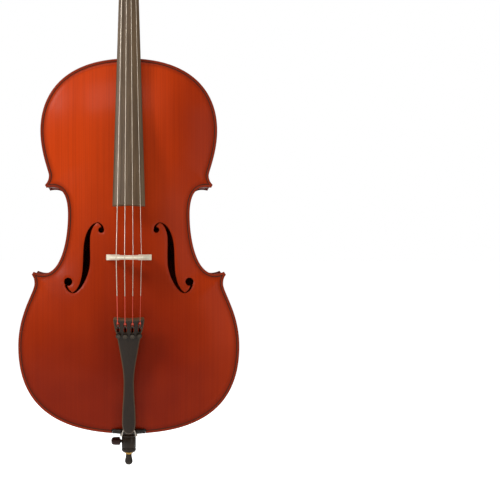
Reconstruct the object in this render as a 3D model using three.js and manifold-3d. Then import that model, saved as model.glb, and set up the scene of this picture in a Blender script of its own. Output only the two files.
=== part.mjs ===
// A full-size cello, built piece by piece as a luthier builds it.
// Millimetres, +Z up. The player's side (strings, f-holes) faces -Y, the treble side is +X.
// The origin is the bottom of the rubber endpin tip, on the endpin's axis.

import * as THREE from 'three';
import { mergeVertices } from 'three/addons/utils/BufferGeometryUtils.js';
import Module from 'manifold-3d';

const wasm = await Module();
wasm.setup();

// ---------------------------------------------------------------- driving dimensions

const GAP = 0.3; // between pieces that are glued or seated in each other

// Body outline
const BODY_LENGTH = 755;
const LOWER_BOUT = 445;
const MIDDLE_BOUT = 245;
const UPPER_BOUT = 356;
const LOWER_BOUT_UP = 176; // height of the widest line above the lower edge
const MIDDLE_BOUT_UP = 441;
const UPPER_BOUT_UP = 610;
const LOWER_CORNER = { tipX: 195.5, tipUp: 320, faceX: 191.5, faceUp: 326, waistX: 189.8, waistUp: 302 };
const UPPER_CORNER = { tipX: 165.7, tipUp: 494.6, faceX: 168.9, faceUp: 500.6, waistX: 160.8, waistUp: 520 };

// Plates and ribs
const RIB_HEIGHT = 120;
const RIB_THICKNESS = 1.5;
const OVERHANG = 3; // plate edge beyond the ribs
const PLATE_THICKNESS = 4.5;
const ARCH_RISE = 24;
const ARCH_REACH = 118; // how far in from the rim the arching still climbs
const ARCH_FULLNESS = 2.1;
const ARCH_CROWNING = 0.18; // extra fall of the arching towards the outside of the body
const RIM_FLAT = 11; // flat border of the plates, over ribs and linings

// Inside of the body
const LINING_THICKNESS = 2.5;
const LINING_HEIGHT = 12;
const NECK_BLOCK = { halfWidth: 36, length: 42 };
const END_BLOCK = { halfWidth: 38, length: 30 };
const CORNER_BLOCK_UP = 26; // reach of a corner block above and below its corner
const BASS_BAR = { length: 580, width: 11, height: 24, x: 25 };
const SOUND_POST_RADIUS = 5.5;

// Neck, head and fingerboard
const NECK_LENGTH = 281; // body edge to nut, along the fingerboard
const NECK_SLOPE = THREE.MathUtils.degToRad(9.6);
const OVERSTAND = 21; // fingerboard underside above the plate's edge, where the body starts
const NECK_DEPTH_NUT = 18;
const NECK_DEPTH_HEEL = 21;
const FOOT_DEPTH = 9; // how far the neck's foot is let into the body
const HEEL_BACK_WIDTH = 29;
const BUTTON_HEIGHT = 25;
const BUTTON_WIDTH = 30;
const BOARD_LENGTH = 586;
const BOARD_NUT_WIDTH = 31.5;
const BOARD_END_WIDTH = 64;
const BOARD_EDGE = 6.5;
const BOARD_RADIUS = 61;
const NUT_LENGTH = 9;
const NUT_RISE = 1; // nut above the fingerboard
const PEGBOX_WALL = 7.5;
const PEGBOX_LOW_WIDTH = 42;
const PEGBOX_TOP_WIDTH = 32;
const SCROLL_EYE = { y: 9, up: 161 };
const SCROLL_RADIUS = 37;
const SCROLL_WIDTH = 60;

// Pegs: how far above the nut, and on which side the head is
const PEGS = {
  c: { up: 26, side: -1 },
  a: { up: 51, side: 1 },
  g: { up: 77, side: -1 },
  d: { up: 102, side: 1 },
};
const PEG_AXIS_Y = 15;
const PEG_RADIUS = 6.6;
const PEG_TAPER = 1 / 30;
const PEG_COLLAR_RADIUS = 9.5;

// Bridge and strings
const BODY_STOP = 400; // upper body edge to bridge
const BRIDGE_HEIGHT = 92;
const BRIDGE_FEET_SPAN = 92;
const BRIDGE_FOOT_LENGTH = 27;
const BRIDGE_FOOT_THICKNESS = 12;
const BRIDGE_ARCH_THICKNESS = 9.8;
const BRIDGE_TOP_THICKNESS = 2.8;
const BRIDGE_TOP_SPACING = 16.2;
const BRIDGE_TOP_DROP = 5; // outer strings below the middle ones
const NUT_SPACING = 7.3;
const STRING_RADIUS = { c: 0.85, g: 0.7, d: 0.55, a: 0.45 };
const STRING_PLACE = { c: -1.5, g: -0.5, d: 0.5, a: 1.5 };

// Tailpiece and fine tuners, measured along the tailpiece from its lower end
const TAIL_LENGTH = 243;
const TAIL_TOP_WIDTH = 61;
const TAIL_WAIST_WIDTH = 20.4;
const TAIL_FOOT_WIDTH = 27;
const TAIL_WAIST_UP = 110;
const TAIL_SHELL = 5;
const TAIL_RADIUS = 56;
const TAIL_FOOT_DEPTH = 8;
const TUNER_SPACING = 14.6;
const TUNER_PIVOT_UP = 219;
const TUNER_PIVOT_Y = 14.5;
const TUNER_SCREW_UP = 207;
const TUNER_HOOK_UP = 228;
const TUNER_LEVER_WIDTH = 3.6;
const TUNER_SLOT = { width: 6, low: 213, high: 238 };
const TUNER_KNOB_RADIUS = 4.7;
const TUNER_SCREW_RADIUS = 1.5;
const TUNER_AXLE_RADIUS = 1.5;
const SADDLE = { width: 66, length: 10, height: 10.5 };
const TAILGUT_RADIUS = 1.3;

// Endpin
const TIP_LENGTH = 21.5;
const TIP_RADIUS = 8.2;
const BUSHING_RADIUS = 6.75;
const BUSHING_SHOWN = 4.8;
const PLUG_RADIUS = 14.75;
const PLUG_SHOWN = 48.5;
const PLUG_GROOVE_RADIUS = 13;
const PLUG_SHANK_RADIUS = 12;
const PLUG_SHANK_LENGTH = 38;
const PLUG_GROOVE_UP = 38; // tailgut groove above the collar's lower end
const ROD_RADIUS = 5;
const ROD_LENGTH = 480;
const THUMB_KNOB_RADIUS = 8.4;
const THUMB_KNOB_LENGTH = 18.5;
const THUMB_SCREW_RADIUS = 3;
const THUMB_UP = 22; // screw axis above the collar's lower end

// ---------------------------------------------------------------- places worked out from them

const COLLAR_LOW = TIP_LENGTH + GAP + BUSHING_SHOWN;
const RIB_BOTTOM = COLLAR_LOW + PLUG_SHOWN + GAP;
const BODY_LOW = RIB_BOTTOM - OVERHANG;
const BODY_TOP = BODY_LOW + BODY_LENGTH;
const BODY_MIDDLE = BODY_LENGTH / 2;
const HALF_RIB = RIB_HEIGHT / 2;
const RIB_INSIDE = OVERHANG + RIB_THICKNESS;
const BRIDGE_UP = BODY_LENGTH - BODY_STOP;
const THUMB_Z = COLLAR_LOW + THUMB_UP;

// ---------------------------------------------------------------- materials

const material = (color, roughness, metalness = 0) =>
  new THREE.MeshStandardMaterial({ color, roughness, metalness });
const VARNISH_TOP = material(0xb5421a, 0.3);
const VARNISH_BACK = material(0x9b3512, 0.3);
const VARNISH_RIB = material(0x8a3012, 0.3);
const BARE_MAPLE = material(0xd8a45c, 0.5);
const BARE_SPRUCE = material(0xdcc08c, 0.7);
const BRIDGE_MAPLE = material(0xeddcc5, 0.6);
const EBONY = material(0x5a4a3a, 0.4);
const BLACK_FITTING = material(0x32281e, 0.4);
const DARK_KNOB = material(0x341911, 0.35);
const RUBBER = material(0x28231d, 0.8);
const BRASS = material(0xc9a04c, 0.3, 1);
const STEEL = material(0xc2c2c4, 0.25, 1);
const STRING_METAL = material(0xb8b4ae, 0.3, 1);
const TAILGUT_CORD = material(0xb0aaa0, 0.6);

// ---------------------------------------------------------------- solids and booleans

// A closed three.js geometry as a solid that can be joined and cut.
function solid(geometry) {
  const bare = new THREE.BufferGeometry();
  bare.setAttribute('position', geometry.getAttribute('position').clone());
  if (geometry.index) bare.setIndex(geometry.index.clone());
  const merged = mergeVertices(bare, 1e-4);
  return new wasm.Manifold(new wasm.Mesh({
    numProp: 3,
    vertProperties: new Float32Array(merged.getAttribute('position').array),
    triVerts: new Uint32Array(merged.index.array),
  }));
}

function geometryOf(shape) {
  const { vertProperties, triVerts } = shape.getMesh();
  const geometry = new THREE.BufferGeometry();
  geometry.setAttribute('position', new THREE.BufferAttribute(vertProperties, 3));
  geometry.setIndex(new THREE.BufferAttribute(triVerts, 1));
  return geometry;
}

// The biggest of the pieces that a cut leaves, with its slivers dissolved.
const SLIVER = 0.04;
function largest(shape) {
  const pieces = shape.decompose().sort((a, b) => b.volume() - a.volume());
  return pieces[0].simplify(SLIVER);
}

const cello = new THREE.Group();

function addMesh(name, shape, look, parent = cello) {
  const mesh = new THREE.Mesh(geometryOf(largest(shape)), look);
  mesh.name = name;
  parent.add(mesh);
  return mesh;
}

const shapeOf = (points) => new THREE.Shape(points.map(([a, b]) => new THREE.Vector2(a, b)));
const bevelless = (depth, steps = 1) => ({ depth, steps, bevelEnabled: false, curveSegments: 4 });

// Outlines drawn in (x, z), extruded along Y between two depths.
const ALONG_Y = new THREE.Matrix4().makeBasis(
  new THREE.Vector3(1, 0, 0), new THREE.Vector3(0, 0, 1), new THREE.Vector3(0, -1, 0));
function alongY(shape, front, back, options = {}) {
  const geometry = new THREE.ExtrudeGeometry(shape, { ...bevelless(back - front), ...options });
  return solid(geometry.applyMatrix4(ALONG_Y).translate(0, back, 0));
}

// Profiles drawn in (y, z), extruded along X, centred on x.
const ALONG_X = new THREE.Matrix4().makeBasis(
  new THREE.Vector3(0, 1, 0), new THREE.Vector3(0, 0, 1), new THREE.Vector3(1, 0, 0));
function alongX(shape, width, x = 0, options = {}) {
  const geometry = new THREE.ExtrudeGeometry(shape, { ...bevelless(width), ...options });
  return solid(geometry.applyMatrix4(ALONG_X).translate(x - width / 2, 0, 0));
}

// Sections drawn in (x, y), extruded along Z.
const alongZ = (shape, low, high, options = {}) =>
  solid(new THREE.ExtrudeGeometry(shape, { ...bevelless(high - low), ...options }).translate(0, 0, low));

function box(x, y, z) {
  const size = [x[1] - x[0], y[1] - y[0], z[1] - z[0]];
  const centre = [(x[0] + x[1]) / 2, (y[0] + y[1]) / 2, (z[0] + z[1]) / 2];
  return solid(new THREE.BoxGeometry(...size).translate(...centre));
}

// A turned piece: [radius, height] pairs from bottom to top, closed on its axis Z.
function turned(profile, sides = 24) {
  const points = profile.map(([r, h]) => new THREE.Vector2(r, h));
  return solid(new THREE.LatheGeometry(points, sides).rotateX(Math.PI / 2));
}

function rod(from, to, radius, sides = 16, endRadius = radius) {
  const start = new THREE.Vector3(...from);
  const run = new THREE.Vector3(...to).sub(start);
  const geometry = new THREE.CylinderGeometry(endRadius, radius, run.length(), sides);
  const turn = new THREE.Quaternion().setFromUnitVectors(
    new THREE.Vector3(0, 1, 0), run.clone().normalize());
  geometry.applyQuaternion(turn).translate(...start.addScaledVector(run, 0.5).toArray());
  return solid(geometry);
}

// ---------------------------------------------------------------- body outline

const bezier = (points, divisions) => new THREE.CubicBezierCurve(
  ...points.map(([x, z]) => new THREE.Vector2(x, z))).getPoints(divisions).map((p) => [p.x, p.y]);

// The treble half of the outline as three runs, one per rib, from the top down.
function outlineRuns() {
  const upper = UPPER_BOUT / 2;
  const middle = MIDDLE_BOUT / 2;
  const lower = LOWER_BOUT / 2;
  const { tipX: ux, tipUp: uz, faceX: ufx, faceUp: ufz, waistX: uwx, waistUp: uwz } = UPPER_CORNER;
  const { tipX: lx, tipUp: lz, faceX: lfx, faceUp: lfz, waistX: lwx, waistUp: lwz } = LOWER_CORNER;
  const shoulder = [
    [0, BODY_LENGTH], [123, BODY_LENGTH], [upper, UPPER_BOUT_UP + 81], [upper, UPPER_BOUT_UP],
  ];
  const flank = [[upper, UPPER_BOUT_UP], [upper, UPPER_BOUT_UP - 44], [uwx, uwz + 7], [uwx, uwz]];
  const upperHook = [[uwx, uwz], [uwx, uwz - 8], [ufx - 5, ufz + 5], [ufx, ufz]];
  const waistTop = [[ux, uz], [ux - 34, uz + 8.5], [middle, MIDDLE_BOUT_UP + 34], [middle, MIDDLE_BOUT_UP]];
  const waistLow = [
    [middle, MIDDLE_BOUT_UP], [middle, MIDDLE_BOUT_UP - 52], [lfx - 54, lfz - 25], [lfx, lfz],
  ];
  const lowerHook = [[lx, lz], [lx - 4, lz - 5], [lwx, lwz + 8], [lwx, lwz]];
  const hip = [[lwx, lwz], [lwx, lwz - 18], [lower, LOWER_BOUT_UP + 67], [lower, LOWER_BOUT_UP]];
  const seat = [[lower, LOWER_BOUT_UP], [lower, LOWER_BOUT_UP - 113], [155, 0], [0, 0]];
  const chain = (...runs) => runs.flatMap(([points, n], i) => bezier(points, n).slice(i ? 1 : 0));
  return {
    upper: chain([shoulder, 10], [flank, 3], [upperHook, 2]),
    middle: chain([waistTop, 6], [waistLow, 6]),
    lower: chain([lowerHook, 2], [hip, 4], [seat, 11]),
  };
}

// A run moved inwards by a distance; inwards is to the right of the walking direction.
function insetRun(run, distance) {
  return run.map(([x, z], i) => {
    const [ax, az] = run[Math.max(i - 1, 0)];
    const [bx, bz] = run[Math.min(i + 1, run.length - 1)];
    const length = Math.hypot(bx - ax, bz - az);
    const atCentre = Math.abs(x) < 1e-6;
    const side = [(bz - az) / length, -(bx - ax) / length];
    if (atCentre) return [0, z + Math.sign(BODY_MIDDLE - z) * distance];
    return [x + side[0] * distance, z + side[1] * distance];
  });
}

function crossing([ax, az], [bx, bz], [cx, cz], [dx, dz]) {
  const det = (bx - ax) * (dz - cz) - (bz - az) * (dx - cx);
  const t = ((cx - ax) * (dz - cz) - (cz - az) * (dx - cx)) / det;
  const u = ((cx - ax) * (bz - az) - (cz - az) * (bx - ax)) / det;
  return t >= 0 && t <= 1 && u >= 0 && u <= 1 ? [ax + t * (bx - ax), az + t * (bz - az)] : null;
}

// Two runs joined where they cross, or end to end where they don't.
function joinRuns(first, second) {
  for (let i = 0; i < first.length - 1; i += 1) {
    for (let j = second.length - 2; j >= 0; j -= 1) {
      const meet = crossing(first[i], first[i + 1], second[j], second[j + 1]);
      if (meet) return [...first.slice(0, i + 1), meet, ...second.slice(j + 1)];
    }
  }
  return [...first, ...second];
}

const RUNS = outlineRuns();
const mirrored = (points) => points.map(([x, z]) => [-x, z]);
const raised = (points) => points.map(([x, z]) => [x, z + BODY_LOW]);

// The closed outline of the body, moved inwards by a distance.
function outline(distance = 0) {
  const runs = [RUNS.upper, RUNS.middle, RUNS.lower].map((run) => (distance ? insetRun(run, distance) : run));
  const treble = joinRuns(joinRuns(runs[0], runs[1]), runs[2]);
  return raised([...treble, ...mirrored(treble).reverse().slice(1, -1)]);
}

const inside = (distance, front, back) => alongY(shapeOf(outline(distance)), front, back);

// ---------------------------------------------------------------- arching

const RIM_LINE = outline(RIM_FLAT);

function distanceInside(x, z) {
  let best = Infinity;
  let within = false;
  RIM_LINE.forEach(([ax, az], i) => {
    const [bx, bz] = RIM_LINE[(i + 1) % RIM_LINE.length];
    const span = (bx - ax) ** 2 + (bz - az) ** 2;
    const t = THREE.MathUtils.clamp(((x - ax) * (bx - ax) + (z - az) * (bz - az)) / span, 0, 1);
    best = Math.min(best, Math.hypot(x - ax - t * (bx - ax), z - az - t * (bz - az)));
    if ((az > z) !== (bz > z) && x < ((bx - ax) * (z - az)) / (bz - az) + ax) within = !within;
  });
  return within ? best : 0;
}

function archHeight(x, z) {
  const climb = 1 - (1 - Math.min(distanceInside(x, z) / ARCH_REACH, 1)) ** ARCH_FULLNESS;
  const across = (x / (LOWER_BOUT / 2)) ** 2;
  const along = ((z - BODY_LOW - BODY_MIDDLE) / BODY_MIDDLE) ** 2;
  return ARCH_RISE * climb * (1 - ARCH_CROWNING * (across + along));
}

// A slab that follows the arching; side -1 is the top, +1 the back.
function archedSlab(side, innerOffset, thickness) {
  const width = LOWER_BOUT + 20;
  const geometry = new THREE.BoxGeometry(width, thickness, BODY_LENGTH + 20, 12, 1, 16);
  const middle = side * (HALF_RIB + innerOffset + thickness / 2);
  geometry.translate(0, middle, BODY_LOW + BODY_MIDDLE);
  const position = geometry.getAttribute('position');
  for (let i = 0; i < position.count; i += 1) {
    position.setY(i, position.getY(i) + side * archHeight(position.getX(i), position.getZ(i)));
  }
  return solid(geometry);
}

// Everything from a plate's outer or inner surface inwards, to cut what rests against it.
const CUT_DEPTH = 60;
const underTop = (clearance) => archedSlab(-1, PLATE_THICKNESS + clearance - CUT_DEPTH, CUT_DEPTH);
const beyondTop = archedSlab(-1, -GAP, CUT_DEPTH);
const beyondBack = archedSlab(1, -GAP, CUT_DEPTH);

function plate(side) {
  const depths = side < 0
    ? [-HALF_RIB - PLATE_THICKNESS, -HALF_RIB]
    : [HALF_RIB, HALF_RIB + PLATE_THICKNESS];
  const rimShape = shapeOf(outline());
  rimShape.holes.push(shapeOf(outline(RIM_FLAT + 1).reverse()));
  const reach = [-HALF_RIB - CUT_DEPTH, HALF_RIB + CUT_DEPTH];
  const arched = archedSlab(side, 0, PLATE_THICKNESS).intersect(inside(RIM_FLAT, ...reach));
  return alongY(rimShape, ...depths).add(arched);
}

// ---------------------------------------------------------------- f-holes

// The holes are drawn for a bridge 355 above the body's low end, and move with it.
const F_LOW = BODY_LOW + BRIDGE_UP - 355;
const F_UPPER_EYE = { x: 55.1, up: 409.6, radius: 5.8 };
const F_LOWER_EYE = { x: 121.6, up: 306, radius: 8.2 };

function fHole(side) {
  const put = (x, up) => [side * x, up + F_LOW];
  const edge = new THREE.Shape();
  edge.moveTo(...put(61.6, 425.2));
  const curve = (...p) => edge.bezierCurveTo(...put(p[0], p[1]), ...put(p[2], p[3]), ...put(p[4], p[5]));
  curve(78, 423.5, 87.5, 402, 89.6, 377);
  curve(91.5, 352, 90, 328, 95, 311.7);
  curve(98, 301, 103.5, 289, 112.5, 284.6);
  curve(118, 288, 121.5, 292.5, 123.2, 298);
  edge.lineTo(...put(129, 302.5));
  curve(127.5, 291.5, 118.5, 283, 111, 283.2);
  curve(98, 284, 84, 311, 79.8, 334);
  curve(77, 350, 79.5, 375, 78.4, 394);
  curve(77.4, 407, 71, 421, 62.2, 424);
  curve(59.5, 422, 56, 419, 54.6, 415.2);
  edge.lineTo(...put(49.5, 411.5));
  curve(50.5, 418, 55, 423, 61.6, 425.2);
  const front = -HALF_RIB - CUT_DEPTH;
  const eye = ({ x, up, radius }) =>
    rod([side * x, front, up + F_LOW], [side * x, -HALF_RIB, up + F_LOW], radius, 20);
  return alongY(edge, front, -HALF_RIB).add(eye(F_UPPER_EYE)).add(eye(F_LOWER_EYE));
}

// ---------------------------------------------------------------- neck frame

// Turned group whose Z runs up the fingerboard's glue plane from the body's edge.
const neckFrame = new THREE.Group();
neckFrame.position.set(0, -HALF_RIB - PLATE_THICKNESS - OVERSTAND, BODY_TOP);
neckFrame.rotation.x = -NECK_SLOPE;
neckFrame.updateMatrix();
cello.add(neckFrame);
const toNeckFrame = neckFrame.matrix.clone().invert();
const moved = (shape, matrix) => solid(geometryOf(shape).applyMatrix4(matrix));

const boardWidth = (up) => THREE.MathUtils.mapLinear(
  up, NECK_LENGTH, NECK_LENGTH - BOARD_LENGTH, BOARD_NUT_WIDTH, BOARD_END_WIDTH);
const boardCrown = (up) =>
  BOARD_EDGE + BOARD_RADIUS - Math.sqrt(BOARD_RADIUS ** 2 - (boardWidth(up) / 2) ** 2);

// A bar along Z whose (x, y) section changes from one end to the other.
function lofted(section, low, high, steps) {
  const start = section(low);
  const geometry = new THREE.ExtrudeGeometry(shapeOf(start), bevelless(high - low, steps));
  geometry.translate(0, 0, low);
  const position = geometry.getAttribute('position');
  for (let i = 0; i < position.count; i += 1) {
    const here = [position.getX(i), position.getY(i)];
    const distance = start.map(([x, y]) => Math.hypot(x - here[0], y - here[1]));
    const k = distance.indexOf(Math.min(...distance));
    const [x, y] = section(position.getZ(i))[k];
    position.setXY(i, x, y);
  }
  return solid(geometry);
}

function boardSection(up) {
  const half = boardWidth(up) / 2;
  const centre = BOARD_RADIUS - boardCrown(up);
  const steps = 8;
  const top = Array.from({ length: steps + 1 }, (_, i) => {
    const x = half - (2 * half * i) / steps;
    return [x, centre - Math.sqrt(BOARD_RADIUS ** 2 - x ** 2)];
  });
  return [[-half, 0], [half, 0], ...top];
}

function neckSection(up) {
  const half = boardWidth(up) / 2 - 0.2;
  const depth = THREE.MathUtils.mapLinear(up, 0, NECK_LENGTH, NECK_DEPTH_HEEL, NECK_DEPTH_NUT);
  const steps = 10;
  const round = Array.from({ length: steps + 1 }, (_, i) => {
    const angle = (Math.PI * i) / steps;
    return [half * Math.cos(angle), GAP + 2 + (depth - 2) * Math.sin(angle)];
  });
  return [[half, GAP], ...round, [-half, GAP]];
}

// Heel: from the neck's back down to the button, and the foot let into the body.
const FOOT_BACK = HALF_RIB - GAP;
const FOOT_LOW = BODY_TOP - FOOT_DEPTH;
const HEEL_WIDTH = boardWidth(0) - 0.4;
const FOOT_FRONT = neckFrame.position.y + FOOT_DEPTH * Math.tan(-NECK_SLOPE) + GAP;
function heelPlan(spare) {
  const front = HEEL_WIDTH / 2 + spare;
  const back = HEEL_BACK_WIDTH / 2 + spare;
  return shapeOf([
    [-front, FOOT_FRONT - 30 - spare], [front, FOOT_FRONT - 30 - spare], [front, FOOT_FRONT + 20],
    [back, FOOT_BACK + spare], [-back, FOOT_BACK + spare], [-front, FOOT_FRONT + 20],
  ]);
}

function heel() {
  const up = 72;
  const gluePlane = (z) => neckFrame.position.y + (z - BODY_TOP) * Math.tan(NECK_SLOPE) + GAP * 1.2;
  const profile = new THREE.Shape();
  profile.moveTo(gluePlane(FOOT_LOW), FOOT_LOW);
  profile.lineTo(FOOT_BACK, FOOT_LOW);
  profile.lineTo(FOOT_BACK, BODY_TOP + BUTTON_HEIGHT - 2);
  const neckBack = gluePlane(BODY_TOP + up) + NECK_DEPTH_HEEL - 2;
  profile.bezierCurveTo(10, BODY_TOP + 20, neckBack + 2, BODY_TOP + 22, neckBack, BODY_TOP + up);
  profile.lineTo(gluePlane(BODY_TOP + up), BODY_TOP + up);
  return alongX(profile, HEEL_WIDTH).intersect(alongZ(heelPlan(0), FOOT_LOW - 1, BODY_TOP + up + 5));
}

const footCut = alongZ(heelPlan(GAP), FOOT_LOW - GAP, BODY_TOP + 60);

// Head, drawn above the nut
const HEAD = NECK_LENGTH + NUT_LENGTH;
function pegboxSide() {
  const side = new THREE.Shape();
  side.moveTo(GAP, HEAD - 14);
  side.lineTo(GAP, HEAD + GAP);
  side.lineTo(-1, HEAD + GAP);
  side.lineTo(9, HEAD + 112);
  side.lineTo(9, HEAD + SCROLL_EYE.up);
  side.lineTo(SCROLL_EYE.y + SCROLL_RADIUS - 4, HEAD + SCROLL_EYE.up - 8);
  side.bezierCurveTo(36, HEAD + 110, 33, HEAD + 75, 36, HEAD + 40);
  side.bezierCurveTo(37, HEAD + 20, 34, HEAD - 4, NECK_DEPTH_NUT, HEAD - 14);
  return side;
}

const pegboxHalf = (up) => THREE.MathUtils.mapLinear(
  THREE.MathUtils.clamp(up, 8, 125), 8, 125, PEGBOX_LOW_WIDTH / 2, PEGBOX_TOP_WIDTH / 2);

function pegboxFront(wall, low, high) {
  const width = (up) => pegboxHalf(up) - wall;
  const base = wall ? width(low) : BOARD_NUT_WIDTH / 2;
  return shapeOf([
    [-base, HEAD + low], [base, HEAD + low], [width(10), HEAD + Math.max(low, 10) + 1],
    [width(high), HEAD + high], [-width(high), HEAD + high], [-width(10), HEAD + Math.max(low, 10) + 1],
  ]);
}

function spiral(startRadius, endRadius, turns) {
  const steps = Math.round(turns * 16);
  return Array.from({ length: steps + 1 }, (_, i) => {
    const t = i / steps;
    const angle = turns * 2 * Math.PI * t;
    const r = startRadius * (endRadius / startRadius) ** t;
    return [SCROLL_EYE.y + r * Math.cos(angle), HEAD + SCROLL_EYE.up + r * Math.sin(angle)];
  });
}

function head() {
  const pegbox = alongX(pegboxSide(), PEGBOX_LOW_WIDTH + 2).intersect(
    alongY(pegboxFront(0, -14, 182), -60, 60));
  const cavitySide = shapeOf([
    [-20, HEAD + 5], [24, HEAD + 9], [28, HEAD + 40], [26, HEAD + 100], [20, HEAD + 122], [-20, HEAD + 122],
  ]);
  const cavity = alongX(cavitySide, 60).intersect(alongY(pegboxFront(PEGBOX_WALL, 5, 122), -60, 60));
  const volute = (radius, width) => alongX(shapeOf(spiral(radius, radius * 0.8, 1)), width);
  const turns = volute(SCROLL_RADIUS, PEGBOX_TOP_WIDTH)
    .add(volute(SCROLL_RADIUS * 0.62, SCROLL_WIDTH * 0.76))
    .add(volute(SCROLL_RADIUS * 0.34, SCROLL_WIDTH));
  return pegbox.subtract(cavity).add(turns);
}

function peg(name, { up, side }) {
  const outer = pegboxHalf(up);
  const radius = (x) => PEG_RADIUS + x * PEG_TAPER;
  const far = -outer - 2;
  const collar = outer + 5;
  const profile = [
    [0, far - 1.5], [radius(far) - 1.5, far - 1.5], [radius(far), far], [radius(collar), collar],
    [PEG_COLLAR_RADIUS, collar + 0.5], [PEG_COLLAR_RADIUS, collar + 4], [6, collar + 7],
    [5, collar + 12], [6, collar + 18], [0, collar + 18],
  ];
  const grip = new THREE.SphereGeometry(1, 12, 7).scale(5.5, 15.5, 14).translate(0, 0, collar + 28);
  const shape = turned(profile, 16).add(solid(grip));
  const mesh = addMesh(`peg_${name}`, shape, EBONY, neckFrame);
  mesh.position.set(0, PEG_AXIS_Y, HEAD + up);
  mesh.rotation.y = (side * Math.PI) / 2;
  return mesh;
}

function pegHole({ up, side }) {
  const at = (x) => [side * x, PEG_AXIS_Y, HEAD + up];
  const reach = 30;
  const radius = (x) => PEG_RADIUS + x * PEG_TAPER + GAP;
  return rod(at(-reach), at(reach), radius(-reach), 16, radius(reach));
}

// ---------------------------------------------------------------- strings

const inWorld = (frame, point) => new THREE.Vector3(...point).applyMatrix4(frame.matrix).toArray();

// Bridge top: the middle strings' line over the end of the fingerboard, run on to the bridge
const CROWN_Y = -HALF_RIB - PLATE_THICKNESS - ARCH_RISE;
const BRIDGE_Z = BODY_LOW + BRIDGE_UP;
const BRIDGE_BACK_Z = BRIDGE_Z - BRIDGE_FOOT_THICKNESS / 2;
const STRING_TOP_Y = CROWN_Y - BRIDGE_HEIGHT;

// Tailpiece frame: Z runs from the tailpiece's lower end towards the bridge top
const tailFrame = new THREE.Group();
const TAIL_LOW = [-HALF_RIB - PLATE_THICKNESS - SADDLE.height - TAIL_FOOT_DEPTH - 1.5, BODY_LOW + 1.5];
const TAIL_SLOPE = Math.atan2(TAIL_LOW[0] - STRING_TOP_Y - 2.5, BRIDGE_Z - TAIL_LOW[1]);
tailFrame.position.set(0, TAIL_LOW[0], TAIL_LOW[1]);
tailFrame.rotation.x = TAIL_SLOPE;
tailFrame.updateMatrix();
cello.add(tailFrame);

const tailSag = (x) => TAIL_RADIUS - Math.sqrt(TAIL_RADIUS ** 2 - x ** 2);

function stringRoute(name) {
  const place = STRING_PLACE[name];
  const radius = STRING_RADIUS[name];
  const { up } = PEGS[name];
  const drop = Math.abs(place) > 1 ? BRIDGE_TOP_DROP : 0;
  const nutX = place * NUT_SPACING;
  const nutY = -boardCrown(NECK_LENGTH) - NUT_RISE + (nutX ** 2) / (2 * BOARD_RADIUS);
  const tailX = place * TUNER_SPACING;
  return [
    inWorld(tailFrame, [tailX, tailSag(tailX) - 1, TUNER_HOOK_UP + 3]),
    [place * BRIDGE_TOP_SPACING, STRING_TOP_Y + drop, BRIDGE_Z],
    inWorld(neckFrame, [nutX, nutY, NECK_LENGTH + 3]),
    inWorld(neckFrame, [nutX * 0.95, PEG_AXIS_Y - PEG_RADIUS - 2 * GAP - radius, HEAD + up]),
  ];
}

function stringSolid(name, spare = 0) {
  const radius = STRING_RADIUS[name] + spare;
  const route = stringRoute(name);
  return rod(route[0], route[1], radius, 6)
    .add(rod(route[1], route[2], radius, 6))
    .add(rod(route[2], route[3], radius, 6));
}

const STRING_NAMES = ['c', 'g', 'd', 'a'];
const fatStrings = STRING_NAMES.map((name) => stringSolid(name, GAP)).reduce((a, b) => a.add(b));

// ---------------------------------------------------------------- bridge

function bridge() {
  const foot = BRIDGE_FEET_SPAN / 2;
  const heelX = foot - BRIDGE_FOOT_LENGTH;
  const top = BRIDGE_HEIGHT + 1.5;
  const half = (up) => (x) => [x, up];
  const right = [
    half(-8)(heelX), half(-8)(foot), half(3)(foot), half(8)(foot - 6), half(20)(foot - 10),
    half(36)(foot - 11), half(45)(foot - 14), half(52)(foot - 8), half(60)(foot - 6),
    half(70)(foot - 12), half(80)(foot - 16), half(top - BRIDGE_TOP_DROP - 1)(BRIDGE_TOP_SPACING * 1.75),
    half(top - 1.6)(BRIDGE_TOP_SPACING), half(top)(BRIDGE_TOP_SPACING * 0.4),
  ];
  const arch = [half(3)(heelX), half(8)(heelX + 5), half(24)(heelX + 3), half(36)(heelX - 7), half(40)(0)];
  const rim = [...right, ...mirrored(right).reverse(), ...mirrored(arch), ...arch.slice(0, -1).reverse()];
  const body = shapeOf(rim);
  const heart = new THREE.Path().absellipse(0, 56, 6, 9, 0, 2 * Math.PI);
  body.holes.push(heart);
  for (const side of [-1, 1]) {
    body.holes.push(new THREE.Path().absellipse(side * 22, 64, 8, 5, 0, 2 * Math.PI));
  }
  // Drawn in (x, height), stood on the top with its height pointing forwards.
  const blank = new THREE.ExtrudeGeometry(body, { ...bevelless(BRIDGE_FOOT_THICKNESS), curveSegments: 8 });
  const stand = new THREE.Matrix4().makeBasis(
    new THREE.Vector3(1, 0, 0), new THREE.Vector3(0, -1, 0), new THREE.Vector3(0, 0, -1));
  blank.applyMatrix4(stand).translate(0, CROWN_Y, BRIDGE_BACK_Z + BRIDGE_FOOT_THICKNESS);
  const low = -HALF_RIB;
  const high = STRING_TOP_Y - 10;
  const thick = BRIDGE_FOOT_THICKNESS / 2;
  const belly = BRIDGE_ARCH_THICKNESS / 2;
  const thin = BRIDGE_TOP_THICKNESS / 2 - 0.3;
  const wedge = shapeOf([
    [low, BRIDGE_Z - thick - 1], [low, BRIDGE_Z + thick + 1],
    [CROWN_Y - 6, BRIDGE_Z + thick], [STRING_TOP_Y + 54, BRIDGE_Z + belly], [high, BRIDGE_Z + thin],
    [high, BRIDGE_Z - thin], [STRING_TOP_Y + 54, BRIDGE_Z - belly], [CROWN_Y - 6, BRIDGE_Z - thick],
  ]);
  return solid(blank)
    .intersect(alongX(wedge, 2 * foot + 10))
    .subtract(underTop(GAP))
    .subtract(fatStrings);
}

// ---------------------------------------------------------------- tailpiece and tuners

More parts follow.
